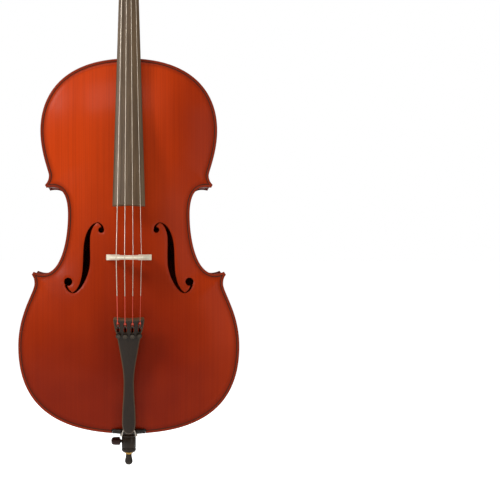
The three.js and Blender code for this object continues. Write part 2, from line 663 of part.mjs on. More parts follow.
function tailOutline() {
  const shape = new THREE.Shape();
  const top = TAIL_TOP_WIDTH / 2;
  const waist = TAIL_WAIST_WIDTH / 2;
  const foot = TAIL_FOOT_WIDTH / 2;
  const tuners = TAIL_LENGTH - 62;
  shape.moveTo(0, 0);
  shape.bezierCurveTo(foot * 0.7, 0, foot, 9, foot, 24);
  shape.bezierCurveTo(foot, 60, waist, 70, waist, TAIL_WAIST_UP);
  shape.bezierCurveTo(waist, TAIL_WAIST_UP + 28, top - 9, tuners - 6, top - 7, tuners + 8);
  shape.lineTo(top, TAIL_LENGTH);
  shape.lineTo(-top, TAIL_LENGTH);
  shape.lineTo(7 - top, tuners + 8);
  shape.bezierCurveTo(9 - top, tuners - 6, -waist, TAIL_WAIST_UP + 28, -waist, TAIL_WAIST_UP);
  shape.bezierCurveTo(-waist, 70, -foot, 60, -foot, 24);
  shape.bezierCurveTo(-foot, 9, -foot * 0.7, 0, 0, 0);
  return shape;
}

const tunerX = (name) => STRING_PLACE[name] * TUNER_SPACING * 0.96;

function tailpiece() {
  const centre = TAIL_RADIUS + 1.5;
  const arch = (radius, low, high) => rod([0, centre, low], [0, centre, high], radius, 56);
  const plan = alongY(tailOutline(), -5, 32);
  const skirt = box([-40, 40], [-10, 18], [-1, TAIL_LENGTH + 1]);
  const hollow = arch(TAIL_RADIUS - TAIL_SHELL, 66, TAIL_LENGTH + 5)
    .subtract(box([-80, 80], [-10, 15], [-10, 66]));
  const foot = box([-40, 40], [-5, TAIL_FOOT_DEPTH], [-5, 67])
    .add(skirt.intersect(box([-40, 40], [-10, 18], [66, 300])));
  let shape = plan.intersect(arch(TAIL_RADIUS, -5, TAIL_LENGTH + 5)).intersect(foot).subtract(hollow);
  const lugZ = [TUNER_PIVOT_UP - 4, TUNER_PIVOT_UP + 4];
  for (const x of [-2, -1, 0, 1, 2]) {
    const lugX = x * TUNER_SPACING * 0.96;
    const front = tailSag(lugX) + 3;
    shape = shape.add(box([lugX - 1.5, lugX + 1.5], [front, TUNER_PIVOT_Y + 4], lugZ).intersect(plan));
  }
  for (const name of STRING_NAMES) {
    const x = tunerX(name);
    const half = TUNER_SLOT.width / 2;
    shape = shape.subtract(box([x - half, x + half], [-10, 30], [TUNER_SLOT.low, TUNER_SLOT.high]));
    shape = shape.subtract(rod([x, -10, TUNER_SCREW_UP], [x, 30, TUNER_SCREW_UP], TUNER_SCREW_RADIUS + GAP));
  }
  const axleHole = rod([-40, TUNER_PIVOT_Y, TUNER_PIVOT_UP], [40, TUNER_PIVOT_Y, TUNER_PIVOT_UP],
    TUNER_AXLE_RADIUS + GAP, 12);
  return shape.subtract(axleHole).subtract(tailgut(GAP));
}

const ARM_TOP = -0.6; // the lever's arm under the screw, from the pivot

// Lever: a hub on the axle, a hook through the slot for the string and an arm under the screw.
function tunerLever(name) {
  const x = tunerX(name);
  const hookY = tailSag(x) - 1.2 - TUNER_PIVOT_Y;
  const screw = TUNER_SCREW_UP - TUNER_PIVOT_UP;
  const hook = TUNER_HOOK_UP - TUNER_PIVOT_UP;
  const profile = shapeOf([
    [3.4, -3], [3.4, 3], [-2, hook + 1], [hookY, hook + 1], [hookY, hook - 3],
    [-3.4, hook - 5], [-3.4, -1], [ARM_TOP, -5], [ARM_TOP, screw - 3], [2.6, screw - 3],
  ]);
  const bore = rod([-10, 0, 0], [10, 0, 0], TUNER_AXLE_RADIUS + GAP, 12);
  const lever = alongX(profile, TUNER_LEVER_WIDTH).subtract(bore);
  const mesh = addMesh(`tuner_lever_${name}`, lever, STEEL, tailFrame);
  mesh.position.set(x, TUNER_PIVOT_Y, TUNER_PIVOT_UP);
}

function tunerScrew(name) {
  const x = tunerX(name);
  const arm = TUNER_PIVOT_Y + ARM_TOP - GAP;
  const seat = tailSag(Math.max(Math.abs(x) - TUNER_KNOB_RADIUS, 0)) + 1.5 - GAP;
  const knobHeight = 6.5;
  const profile = [
    [0, -arm], [TUNER_SCREW_RADIUS, -arm], [TUNER_SCREW_RADIUS, -seat], [TUNER_KNOB_RADIUS, -seat],
    [TUNER_KNOB_RADIUS, knobHeight - seat - 1], [TUNER_KNOB_RADIUS - 1, knobHeight - seat],
    [0, knobHeight - seat],
  ];
  const mesh = addMesh(`tuner_screw_${name}`, turned(profile, 16), BLACK_FITTING, tailFrame);
  mesh.position.set(x, 0, TUNER_SCREW_UP);
  mesh.rotation.x = Math.PI / 2;
}

// Tailgut: out of the tailpiece, over the saddle and round the plug's groove.
function tailgut(spare) {
  const groove = COLLAR_LOW + PLUG_GROOVE_UP;
  const ring = PLUG_GROOVE_RADIUS + TAILGUT_RADIUS + 2 * GAP;
  const [endY, endZ] = TAIL_LOW;
  const saddleTop = -HALF_RIB - PLATE_THICKNESS - SADDLE.height - TAILGUT_RADIUS - GAP;
  const strand = [
    [6, endY + 3.5, endZ + 22], [8, endY + 3.8, endZ + 12], [12, saddleTop - 0.5, endZ + 4.5],
    [14, saddleTop + 2, endZ - 2.5], [15, saddleTop + 8, BODY_LOW - 3.5], [16.5, -50, BODY_LOW - 5],
    [ring + 1, -22, groove + 1], [ring + 0.3, -5, groove],
  ];
  const loop = [[ring * 0.74, ring * 0.74, groove], [0, ring + 0.3, groove]];
  const half = [...strand, ...loop].map(([x, y, z]) => new THREE.Vector3(x, y, z));
  const other = half.slice(0, -1).reverse().map((p) => new THREE.Vector3(-p.x, p.y, p.z));
  const path = new THREE.CatmullRomCurve3([...half, ...other], false, 'centripetal');
  const radius = TAILGUT_RADIUS + spare;
  const section = new THREE.Shape().absarc(0, 0, radius, 0, 2 * Math.PI);
  const cord = new THREE.ExtrudeGeometry(section, { steps: 54, extrudePath: path, curveSegments: 3 });
  return spare ? moved(solid(cord), tailFrame.matrix.clone().invert()) : solid(cord);
}

// ---------------------------------------------------------------- endpin

function plugSolid() {
  const top = PLUG_SHOWN;
  const groove = PLUG_GROOVE_UP;
  const halfGroove = TAILGUT_RADIUS + 1;
  const profile = [
    [0, 0], [PLUG_RADIUS - 2.5, 0], [PLUG_RADIUS, 3], [PLUG_RADIUS, groove - halfGroove - 1],
    [PLUG_GROOVE_RADIUS, groove - halfGroove], [PLUG_GROOVE_RADIUS, groove + halfGroove],
    [PLUG_RADIUS - 1, groove + halfGroove + 0.5], [PLUG_RADIUS - 1, top],
    [PLUG_SHANK_RADIUS, top], [PLUG_SHANK_RADIUS - 1, top + PLUG_SHANK_LENGTH], [0, top + PLUG_SHANK_LENGTH],
  ];
  const bore = rod([0, 0, -5], [0, 0, 100], BUSHING_RADIUS + GAP, 24);
  const screwHole = rod([-30, 0, THUMB_UP], [0, 0, THUMB_UP], THUMB_SCREW_RADIUS + GAP, 16);
  return turned(profile, 24).subtract(bore).subtract(screwHole);
}

function bushingSolid() {
  const length = BUSHING_SHOWN + PLUG_SHOWN + PLUG_SHANK_LENGTH;
  const sleeve = rod([0, 0, 0], [0, 0, length], BUSHING_RADIUS, 24);
  const bore = rod([0, 0, -5], [0, 0, length + 5], ROD_RADIUS + GAP, 24);
  const screwUp = BUSHING_SHOWN + THUMB_UP;
  const screwHole = rod([-30, 0, screwUp], [0, 0, screwUp], THUMB_SCREW_RADIUS + GAP, 16);
  return sleeve.subtract(bore).subtract(screwHole);
}

function tipSolid() {
  const socket = ROD_RADIUS + GAP;
  const profile = [
    [0, 0], [3.2, 0], [6, 2.2], [TIP_RADIUS, 6.5], [TIP_RADIUS - 0.5, 10],
    [TIP_RADIUS - 2, 16], [TIP_RADIUS - 2.4, TIP_LENGTH - 1], [socket + 0.2, TIP_LENGTH],
    [socket, TIP_LENGTH], [socket, 8], [0, 8],
  ];
  return turned(profile, 24);
}

function thumbScrewSolid() {
  const knobStart = PLUG_RADIUS + 3;
  const profile = [
    [0, ROD_RADIUS + GAP], [THUMB_SCREW_RADIUS, ROD_RADIUS + GAP], [THUMB_SCREW_RADIUS, knobStart - 1],
    [THUMB_SCREW_RADIUS + 2, knobStart], [THUMB_KNOB_RADIUS - 1, knobStart],
    [THUMB_KNOB_RADIUS, knobStart + 1.5], [THUMB_KNOB_RADIUS, knobStart + THUMB_KNOB_LENGTH - 5],
    [THUMB_KNOB_RADIUS * 0.75, knobStart + THUMB_KNOB_LENGTH - 1.2], [0, knobStart + THUMB_KNOB_LENGTH],
  ];
  return turned(profile, 20);
}

// ---------------------------------------------------------------- body pieces

const SIDES = { bass: -1, treble: 1 };
const TAPER_CUT = PLUG_SHANK_RADIUS + GAP;
const plugCut = rod([0, 0, RIB_BOTTOM - 10], [0, 0, RIB_BOTTOM + 80], TAPER_CUT, 24);

function strip(run, outer, inner, side) {
  const points = [...insetRun(run, outer), ...insetRun(run, inner).reverse()];
  return alongY(shapeOf(raised(side < 0 ? mirrored(points) : points)), -HALF_RIB + GAP, HALF_RIB - GAP);
}

function ribs() {
  for (const [sideName, side] of Object.entries(SIDES)) {
    const limit = side < 0 ? [-LOWER_BOUT, -GAP] : [GAP, LOWER_BOUT];
    const half = box(limit, [-HALF_RIB, HALF_RIB], [BODY_LOW, BODY_TOP]);
    const rib = (run) => strip(run, OVERHANG, RIB_INSIDE, side).intersect(half);
    const fat = (run) => strip(run, OVERHANG - GAP, RIB_INSIDE + GAP, side);
    const upper = rib(RUNS.upper).subtract(footCut);
    const middle = rib(RUNS.middle).subtract(fat(RUNS.upper)).subtract(fat(RUNS.lower));
    const lower = rib(RUNS.lower).subtract(plugCut);
    addMesh(`rib_upper_${sideName}`, upper, VARNISH_RIB);
    addMesh(`rib_middle_${sideName}`, middle, VARNISH_RIB);
    addMesh(`rib_lower_${sideName}`, lower, VARNISH_RIB);
  }
}

const BLOCK_DEPTHS = [-HALF_RIB + GAP, HALF_RIB - GAP];
const UPPER_CORNER_Z = BODY_LOW + (UPPER_CORNER.tipUp + UPPER_CORNER.faceUp) / 2;
const LOWER_CORNER_Z = BODY_LOW + (LOWER_CORNER.tipUp + LOWER_CORNER.faceUp) / 2;

function blocks() {
  const cavity = inside(RIB_INSIDE + GAP, ...BLOCK_DEPTHS);
  const { halfWidth: neckHalf, length: neckLong } = NECK_BLOCK;
  const { halfWidth: endHalf, length: endLong } = END_BLOCK;
  const neckBlock = box([-neckHalf, neckHalf], BLOCK_DEPTHS, [BODY_TOP - OVERHANG - neckLong, BODY_TOP]);
  const endBlock = box([-endHalf, endHalf], BLOCK_DEPTHS, [BODY_LOW, RIB_BOTTOM + endLong]);
  addMesh('neck_block', neckBlock.intersect(cavity).subtract(footCut), BARE_SPRUCE);
  addMesh('end_block', endBlock.intersect(cavity).subtract(plugCut), BARE_SPRUCE);
  const reach = CORNER_BLOCK_UP;
  const innerUpper = MIDDLE_BOUT / 2 - 5;
  const innerLower = MIDDLE_BOUT / 2 + 6;
  const corners = {
    upper: [[innerUpper, -reach], [LOWER_BOUT, -reach], [LOWER_BOUT, reach], [innerUpper + 20, reach]]
      .map(([x, z]) => [x, z + UPPER_CORNER_Z]),
    lower: [[innerLower + 22, -reach], [LOWER_BOUT, -reach], [LOWER_BOUT, reach + 4], [innerLower, reach + 4]]
      .map(([x, z]) => [x, z + LOWER_CORNER_Z]),
  };
  for (const [sideName, side] of Object.entries(SIDES)) {
    for (const [place, points] of Object.entries(corners)) {
      const wedge = alongY(shapeOf(side < 0 ? mirrored(points) : points), ...BLOCK_DEPTHS);
      addMesh(`corner_block_${place}_${sideName}`, wedge.intersect(cavity), BARE_SPRUCE);
    }
  }
}

function linings() {
  const outer = RIB_INSIDE + GAP;
  const reach = CORNER_BLOCK_UP + GAP;
  const band = {
    top: [-HALF_RIB + GAP, -HALF_RIB + LINING_HEIGHT],
    back: [HALF_RIB - LINING_HEIGHT, HALF_RIB - GAP],
  };
  const zones = {
    upper: { x: NECK_BLOCK.halfWidth + GAP, z: [UPPER_CORNER_Z + reach, BODY_TOP] },
    middle: { x: 20, z: [LOWER_CORNER_Z + reach + 4, UPPER_CORNER_Z - reach] },
    lower: { x: END_BLOCK.halfWidth + GAP, z: [BODY_LOW, LOWER_CORNER_Z - reach] },
  };
  for (const [plateName, depths] of Object.entries(band)) {
    const core = inside(outer + LINING_THICKNESS, depths[0] - 1, depths[1] + 1);
    const ring = inside(outer, ...depths).subtract(core);
    for (const [place, zone] of Object.entries(zones)) {
      for (const [sideName, side] of Object.entries(SIDES)) {
        const x = side < 0 ? [-LOWER_BOUT, -zone.x] : [zone.x, LOWER_BOUT];
        const piece = ring.intersect(box(x, [-HALF_RIB, HALF_RIB], zone.z));
        addMesh(`lining_${place}_${sideName}_${plateName}`, piece, BARE_SPRUCE);
      }
    }
  }
}

const SADDLE_X = SADDLE.width / 2;
const saddleCut = box(
  [-SADDLE_X - GAP, SADDLE_X + GAP], [-120, -HALF_RIB], [BODY_LOW - 5, BODY_LOW + SADDLE.length + GAP]);

function plates() {
  const top = plate(-1).subtract(fHole(-1)).subtract(fHole(1)).subtract(saddleCut).subtract(footCut);
  addMesh('top_plate', top, VARNISH_TOP);
  const buttonHalf = BUTTON_WIDTH / 2;
  const button = new THREE.Shape();
  button.moveTo(-buttonHalf, BODY_TOP - 8);
  button.lineTo(-buttonHalf, BODY_TOP + BUTTON_HEIGHT - buttonHalf + 2);
  button.bezierCurveTo(-buttonHalf, BODY_TOP + BUTTON_HEIGHT + 1, buttonHalf, BODY_TOP + BUTTON_HEIGHT + 1,
    buttonHalf, BODY_TOP + BUTTON_HEIGHT - buttonHalf + 2);
  button.lineTo(buttonHalf, BODY_TOP - 8);
  addMesh('back_plate', plate(1).add(alongY(button, HALF_RIB, HALF_RIB + PLATE_THICKNESS)), VARNISH_BACK);
}

function saddle() {
  const front = -HALF_RIB - PLATE_THICKNESS - SADDLE.height;
  const ends = shapeOf([
    [-SADDLE_X, -HALF_RIB - GAP], [-SADDLE_X, -HALF_RIB - PLATE_THICKNESS - 3], [-SADDLE_X + 16, front],
    [SADDLE_X - 16, front], [SADDLE_X, -HALF_RIB - PLATE_THICKNESS - 3], [SADDLE_X, -HALF_RIB - GAP],
  ]);
  const low = BODY_LOW + 0.6;
  const side = shapeOf([
    [front - 1, low + 4], [front + 1, low + 2], [front + 5, low], [-HALF_RIB, low],
    [-HALF_RIB, BODY_LOW + SADDLE.length], [front + 3, BODY_LOW + SADDLE.length], [front - 1, low + 6],
  ]);
  return alongZ(ends, low - 2, BODY_LOW + 20).intersect(alongX(side, SADDLE.width + 10))
    .subtract(moved(tailgut(GAP), tailFrame.matrix));
}

function innerPieces() {
  const postX = BASS_BAR.x;
  const postZ = BRIDGE_BACK_Z - SOUND_POST_RADIUS - 8;
  const reach = HALF_RIB + ARCH_RISE + 5;
  const post = rod([postX, -reach, postZ], [postX, reach, postZ], SOUND_POST_RADIUS, 16);
  addMesh('sound_post', post.subtract(beyondTop).subtract(beyondBack), BARE_SPRUCE);
  const barMiddle = BODY_LOW + BODY_MIDDLE + 10;
  const bar = new THREE.Shape();
  const end = BASS_BAR.length / 2;
  bar.moveTo(-HALF_RIB - CUT_DEPTH / 2, barMiddle - end);
  const barEnd = -HALF_RIB - ARCH_RISE + 16;
  const barDeep = barEnd + 10;
  bar.lineTo(barEnd, barMiddle - end);
  bar.bezierCurveTo(barDeep, barMiddle - end / 3, barDeep, barMiddle + end / 3, barEnd, barMiddle + end);
  bar.lineTo(-HALF_RIB - CUT_DEPTH / 2, barMiddle + end);
  addMesh('bass_bar', alongX(bar, BASS_BAR.width, -postX).subtract(beyondTop), BARE_SPRUCE);
}

// ---------------------------------------------------------------- assembly

plates();
ribs();
blocks();
linings();
innerPieces();

const shaft = lofted(neckSection, 40, HEAD - 1, 4);
const pegHoles = Object.values(PEGS).map(pegHole).reduce((a, b) => a.add(b));
const nutRoom = box([-40, 40], [-40, GAP * 0.5], [NECK_LENGTH - 30, HEAD + GAP]);
const neck = shaft.add(moved(heel(), toNeckFrame)).add(head()).subtract(nutRoom).subtract(pegHoles);
addMesh('neck_and_scroll', neck, BARE_MAPLE, neckFrame);
const board = lofted(boardSection, NECK_LENGTH - BOARD_LENGTH, NECK_LENGTH - GAP, 1);
addMesh('fingerboard', board, EBONY, neckFrame);

const nutTop = -boardCrown(NECK_LENGTH) - NUT_RISE - 1;
const nutSide = shapeOf([
  [0, NECK_LENGTH], [nutTop, NECK_LENGTH], [nutTop, NECK_LENGTH + 5],
  [nutTop + 4, HEAD - GAP], [0, HEAD - GAP],
]);
const nutBlank = alongX(nutSide, BOARD_NUT_WIDTH).subtract(moved(fatStrings, toNeckFrame));
addMesh('nut', nutBlank, EBONY, neckFrame);
for (const [name, place] of Object.entries(PEGS)) peg(name, place);

addMesh('bridge', bridge(), BRIDGE_MAPLE);
for (const name of STRING_NAMES) addMesh(`string_${name}`, stringSolid(name), STRING_METAL);

addMesh('saddle', saddle(), EBONY);
addMesh('tailpiece', tailpiece(), BLACK_FITTING, tailFrame);
for (const name of STRING_NAMES) {
  tunerLever(name);
  tunerScrew(name);
}
const axleHalf = 2 * TUNER_SPACING * 0.96 - 1;
const axle = rod([-axleHalf, TUNER_PIVOT_Y, TUNER_PIVOT_UP], [axleHalf, TUNER_PIVOT_Y, TUNER_PIVOT_UP],
  TUNER_AXLE_RADIUS, 12);
addMesh('tuner_axle', axle, STEEL, tailFrame);
addMesh('tailgut', tailgut(0), TAILGUT_CORD);

addMesh('endpin_plug', plugSolid(), BLACK_FITTING).position.z = COLLAR_LOW;
addMesh('endpin_bushing', bushingSolid(), BRASS).position.z = TIP_LENGTH + GAP;
const rodLow = 8 + GAP;
addMesh('endpin_rod', rod([0, 0, rodLow], [0, 0, rodLow + ROD_LENGTH], ROD_RADIUS, 24), STEEL);
addMesh('endpin_tip', tipSolid(), RUBBER);
const thumb = addMesh('thumb_screw', thumbScrewSolid(), DARK_KNOB);
thumb.position.z = THUMB_Z;
thumb.rotation.y = -Math.PI / 2;

export default cello;
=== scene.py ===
"""A full-size cello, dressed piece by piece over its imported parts.

Lengths are worked in millimetres and written to the meshes in metres. The strings face -Y, the treble side is +X.
"""

import math

import bmesh
import bpy
import numpy as np
from bpy.props import FloatProperty, FloatVectorProperty, PointerProperty
from mathutils import Matrix, Vector
from mathutils.geometry import delaunay_2d_cdt


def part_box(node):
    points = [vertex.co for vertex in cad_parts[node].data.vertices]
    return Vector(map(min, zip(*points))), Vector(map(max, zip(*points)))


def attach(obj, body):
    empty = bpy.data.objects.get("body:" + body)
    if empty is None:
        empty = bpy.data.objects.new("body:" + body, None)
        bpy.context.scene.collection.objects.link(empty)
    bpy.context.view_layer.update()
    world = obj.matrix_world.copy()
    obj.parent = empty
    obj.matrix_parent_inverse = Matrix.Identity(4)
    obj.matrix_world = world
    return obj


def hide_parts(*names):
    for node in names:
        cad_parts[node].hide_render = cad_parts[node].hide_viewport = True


bl_info = {
    "name": "Cello",
    "version": (1, 0, 0),
    "blender": (4, 5, 0),
    "location": "3D View > Sidebar > Cello",
    "description": "Dresses a packed full-size cello with varnished wood, ebony, strings and fittings",
    "category": "Add Mesh",
}

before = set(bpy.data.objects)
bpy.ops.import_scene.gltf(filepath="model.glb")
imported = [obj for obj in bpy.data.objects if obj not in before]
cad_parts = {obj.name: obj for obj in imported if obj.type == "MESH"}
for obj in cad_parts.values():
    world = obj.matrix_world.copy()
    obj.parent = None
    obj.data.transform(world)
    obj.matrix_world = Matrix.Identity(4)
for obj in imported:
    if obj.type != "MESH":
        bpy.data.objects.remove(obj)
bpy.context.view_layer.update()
MM = 0.001
CORPUS = "corpus"
STRINGS = ("c", "g", "d", "a")
PLACE = {"c": -1.5, "g": -0.5, "d": 0.5, "a": 1.5}


def edges_of(node):
    """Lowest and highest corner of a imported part, in millimetres."""
    low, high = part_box(node)
    return low / MM, high / MM


# ------------------------------------------------------------------ sizes and colours


def length(name, description, millimetres):
    return FloatProperty(name=name, description=description, default=millimetres * MM, unit="LENGTH", precision=4)


def hue(name, description, red, green, blue):
    """A colour given as the eye reads it, 0 to 255, kept as linear light."""
    linear = [(c / 255 / 12.92 if c <= 10 else ((c / 255 + 0.055) / 1.055) ** 2.4) for c in (red, green, blue)]
    return FloatVectorProperty(name=name, description=description, subtype="COLOR", default=linear, min=0, max=1)


RIB_HIGH = edges_of("rib_lower_treble")[1]
BACK_LOW, BACK_HIGH = edges_of("back_plate")
TOP_LOW, TOP_HIGH = edges_of("top_plate")
BOARD_LOW, BOARD_HIGH = edges_of("fingerboard")


class CelloSizes(bpy.types.PropertyGroup):
    """Sizes that a maker would change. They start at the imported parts' own."""

    body_length: length("Body length", "Lower edge to upper edge of the plates", 755)
    lower_bout: length("Lower bout", "Widest part of the body", TOP_HIGH.x - TOP_LOW.x)
    middle_bout: length("Middle bout", "Narrowest part of the body", 245)
    upper_bout: length("Upper bout", "Widest part above the waist", 356)
    rib_height: length("Rib height", "Between the plates", BACK_LOW.y * 2)
    plate_thickness: length("Plate thickness", "Edge thickness of top and back", 4.5)
    arch_rise: length("Arch rise", "Height of the arching over the edge", BACK_HIGH.y - BACK_LOW.y - 4.5)
    overhang: length("Overhang", "Plate edge beyond the ribs", TOP_HIGH.x - RIB_HIGH.x)
    purfling_inset: length("Purfling inset", "Plate edge to the first dark strip", 4.7)
    board_nut_width: length("Fingerboard at nut", "Width of the upper end", 31.5)
    board_end_width: length("Fingerboard end", "Width of the lower end", BOARD_HIGH.x - BOARD_LOW.x)
    silk_length: length("Silk", "Wrapped thread at the lower end of each string", 56)


class CelloColours(bpy.types.PropertyGroup):
    """Colours of the finishes."""

    # The top is mixed between these two partly by its varnish and partly by painted light and shade: bright where the
    # light falls, deep in painted shade.
    top_bright: hue("Top, bright", "Varnish where it is thinnest on the top", 198, 62, 11)
    top_deep: hue("Top, deep", "Varnish where it lies thick on the top", 128, 30, 5)
    back_bright: hue("Back, bright", "Varnish over the upper back", 178, 56, 11)
    back_deep: hue("Back, deep", "Varnish over the lower back", 92, 24, 5)
    rib_colour: hue("Ribs", "Varnish on the ribs", 142, 44, 14)
    edge_colour: hue("Edges", "Varnish on the rounded plate edges", 142, 46, 19)
    neck_colour: hue("Neck", "Bare oiled maple", 222, 168, 94)
    bridge_colour: hue("Bridge", "Bare maple of the bridge", 255, 246, 220)
    inside_wood: hue("Inside", "Bare spruce inside the body", 176, 128, 78)
    board_light: hue("Fingerboard, light", "Light streaks of the fingerboard", 106, 85, 61)
    board_dark: hue("Fingerboard, dark", "Dark streaks of the fingerboard", 84, 66, 47)
    ebony_colour: hue("Ebony", "Pegs, nut and saddle", 34, 26, 20)
    fitting_colour: hue("Tailpiece", "Tailpiece and plug", 37, 26, 15)
    knob_colour: hue("Thumb screw", "Knob of the endpin screw", 54, 26, 18)
    silk_colour: hue("Silk", "Thread round the lower ends of the strings", 226, 84, 62)
    brass_colour: hue("Brass", "Endpin collar and ball ends", 214, 170, 92)


def sizes():
    return bpy.context.scene.cello_sizes


def colours():
    return bpy.context.scene.cello_colours


# ------------------------------------------------------------------ finishes


class Finish:
    """A material with its nodes, laid down one after another."""

    def __init__(self, name):
        self.material = bpy.data.materials.new(name)
        self.material.use_nodes = True
        self.tree = self.material.node_tree
        self.shader = self.tree.nodes["Principled BSDF"]

    def add(self, kind, inputs=None, **settings):
        made = self.tree.nodes.new(kind)
        for key, value in settings.items():
            setattr(made, key, value)
        self.feed(made, inputs or {})
        return made

    def feed(self, made, inputs):
        for key, value in inputs.items():
            if isinstance(value, bpy.types.NodeSocket):
                self.tree.links.new(value, made.inputs[key])
            elif isinstance(value, (int, float)):
                made.inputs[key].default_value = value
            else:
                value = tuple(value)
                size = len(made.inputs[key].default_value)
                made.inputs[key].default_value = value + (1,) * (size - len(value))

    def place(self, scale=(1, 1, 1), attribute=None):
        """Position on the piece, stretched by scale, from the piece itself or from a stored grain direction."""
        if attribute:
            source = self.add("ShaderNodeAttribute", attribute_name=attribute).outputs["Vector"]
        else:
            source = self.add("ShaderNodeTexCoord").outputs["Object"]
        return self.add("ShaderNodeMapping", {"Vector": source, "Scale": scale}).outputs["Vector"]

    def noise(self, where, scale=1, detail=3, roughness=0.5, distortion=0):
        inputs = {"Vector": where, "Scale": scale, "Detail": detail, "Roughness": roughness, "Distortion": distortion}
        return self.add("ShaderNodeTexNoise", inputs).outputs["Fac"]

    def math(self, operation, first, second=0.0, clamp=False):
        return self.add("ShaderNodeMath", {0: first, 1: second}, operation=operation, use_clamp=clamp).outputs[0]

    def span(self, value, low, high, to_low=0.0, to_high=1.0):
        inputs = {"Value": value, "From Min": low, "From Max": high, "To Min": to_low, "To Max": to_high}
        return self.add("ShaderNodeMapRange", inputs, interpolation_type="SMOOTHSTEP").outputs["Result"]

    def mix(self, amount, first, second):
        made = self.add("ShaderNodeMix", data_type="RGBA")
        self.feed(made, {0: amount, 6: first, 7: second})
        return made.outputs[2]

    def bump(self, height, distance, strength):
        inputs = {"Height": height, "Distance": distance, "Strength": strength}
        return self.add("ShaderNodeBump", inputs).outputs["Normal"]

    def surface(self, **inputs):
        self.feed(self.shader, {key.replace("_", " "): value for key, value in inputs.items()})
        return self.material


def shade(colour, factor):
    return tuple(min(c * factor, 1) for c in colour)


VARNISH_COAT = dict(IOR=1.45, Specular_IOR_Level=0.07, Coat_Weight=0.10, Coat_Roughness=0.2, Coat_IOR=1.4)


def varnished_spruce():
    """Top: straight grain lines under a red-orange varnish with painted light and shade over it, darker in the channel
    along the edge partly from the varnish and partly as painted shade.
    """
    c = colours()
    f = Finish("varnished_spruce")
    x, _, z = f.add("ShaderNodeSeparateXYZ", {0: f.place()}).outputs
    lines = f.noise(f.place((420, 12, 2.2)), detail=2, distortion=0.1)
    streaks = f.noise(f.place((95, 8, 0.9)), detail=3)
    cloud = f.noise(f.place((3, 3, 2.4)), scale=1.3, detail=3)
    # Darker towards the lower end: partly the varnish itself and partly painted shade, with the light falling from
    # above.
    height = f.span(z, 0.10, 0.80, 0.0, 1.0)
    # Painted light and shade: the bass side lighter than the treble, a painted shadow of the fingerboard over the
    # upper treble side, and a painted sheen over the lower treble side.
    lean = f.math("ADD", f.span(x, -0.2, 0.2, 0.14, -0.06), f.math("ADD",
                  f.math("MULTIPLY", f.span(x, 0.0, 0.14, 0.0, -0.68), f.span(z, 0.46, 0.72)),
                  f.math("MULTIPLY", f.span(x, 0.08, 0.20, 0.0, 0.26), f.span(z, 0.50, 0.25))))
    depth = f.math("ADD", f.math("ADD", height, lean), f.span(cloud, 0.3, 0.7, -0.16, 0.16), clamp=True)
    varnish = f.mix(depth, c.top_deep, c.top_bright)
    grain = f.mix(f.span(lines, 0.42, 0.62, 0.0, 0.22), varnish, f.mix(0.6, varnish, shade(c.top_deep, 0.55)))
    grain = f.mix(f.span(streaks, 0.40, 0.70, 0.0, 0.10), grain, f.mix(0.5, grain, shade(c.top_deep, 0.7)))
    edge = f.add("ShaderNodeAttribute", attribute_name="edge").outputs["Fac"]
    # Darker in the channel along the edge: partly antique varnish lying in the hollow, partly painted shade.
    channel = f.span(edge, 0.0065, 0.016, 0.42, 0.0)
    grain = f.mix(channel, grain, shade(c.top_deep, 0.5))
    rim = f.span(edge, 0.0042, 0.0052, 1.0, 0.0)
    colour = f.mix(rim, grain, f.mix(f.span(cloud, 0.35, 0.65), c.edge_colour, shade(c.edge_colour, 0.75)))
    rough = f.span(f.noise(f.place((30, 30, 6)), detail=4), 0.3, 0.7, 0.30, 0.42)
    normal = f.bump(lines, 0.00012, 0.5)
    return f.surface(Base_Color=colour, Roughness=rough, Normal=normal, **VARNISH_COAT)


def flamed_maple(name, bright, deep, low, high, attribute=None, flame=0.35):
    """Maple with its flame across the grain, shaded from one height to another. A stored grain turns the flame."""
    f = Finish(name)
    z = f.add("ShaderNodeSeparateXYZ", {0: f.place()}).outputs[2]
    if attribute:
        where = f.place((95, 9, 4), attribute)
        pores = f.place((40, 900, 200), attribute)
    else:
        x, y, up = f.add("ShaderNodeSeparateXYZ", {0: f.place()}).outputs
        mirrored = f.math("ABSOLUTE", x)
        slant = f.math("ADD", up, f.math("MULTIPLY", mirrored, 0.12))
        folded = f.add("ShaderNodeCombineXYZ", {0: mirrored, 1: y, 2: slant}).outputs[0]
        where = f.add("ShaderNodeMapping", {"Vector": folded, "Scale": (7, 5, 62)}).outputs[0]
        pores = f.add("ShaderNodeMapping", {"Vector": folded, "Scale": (700, 200, 26)}).outputs[0]
    stripes = f.noise(where, detail=2.5, distortion=0.5)
    fine = f.noise(pores, detail=3)
    cloud = f.noise(f.place((2.4, 2.4, 3)), scale=1.5, detail=4)
    depth = f.math("ADD", f.span(z, low, high), f.span(cloud, 0.3, 0.7, -0.2, 0.2), clamp=True)
    varnish = f.mix(depth, deep, bright)
    banded = f.mix(f.span(stripes, 0.36, 0.66, 0.0, flame), varnish, f.mix(0.65, varnish, shade(deep, 0.45)))
    colour = f.mix(f.span(fine, 0.5, 0.75, 0.0, 0.22), banded, shade(deep, 0.45))
    return f, colour, stripes, fine, cloud


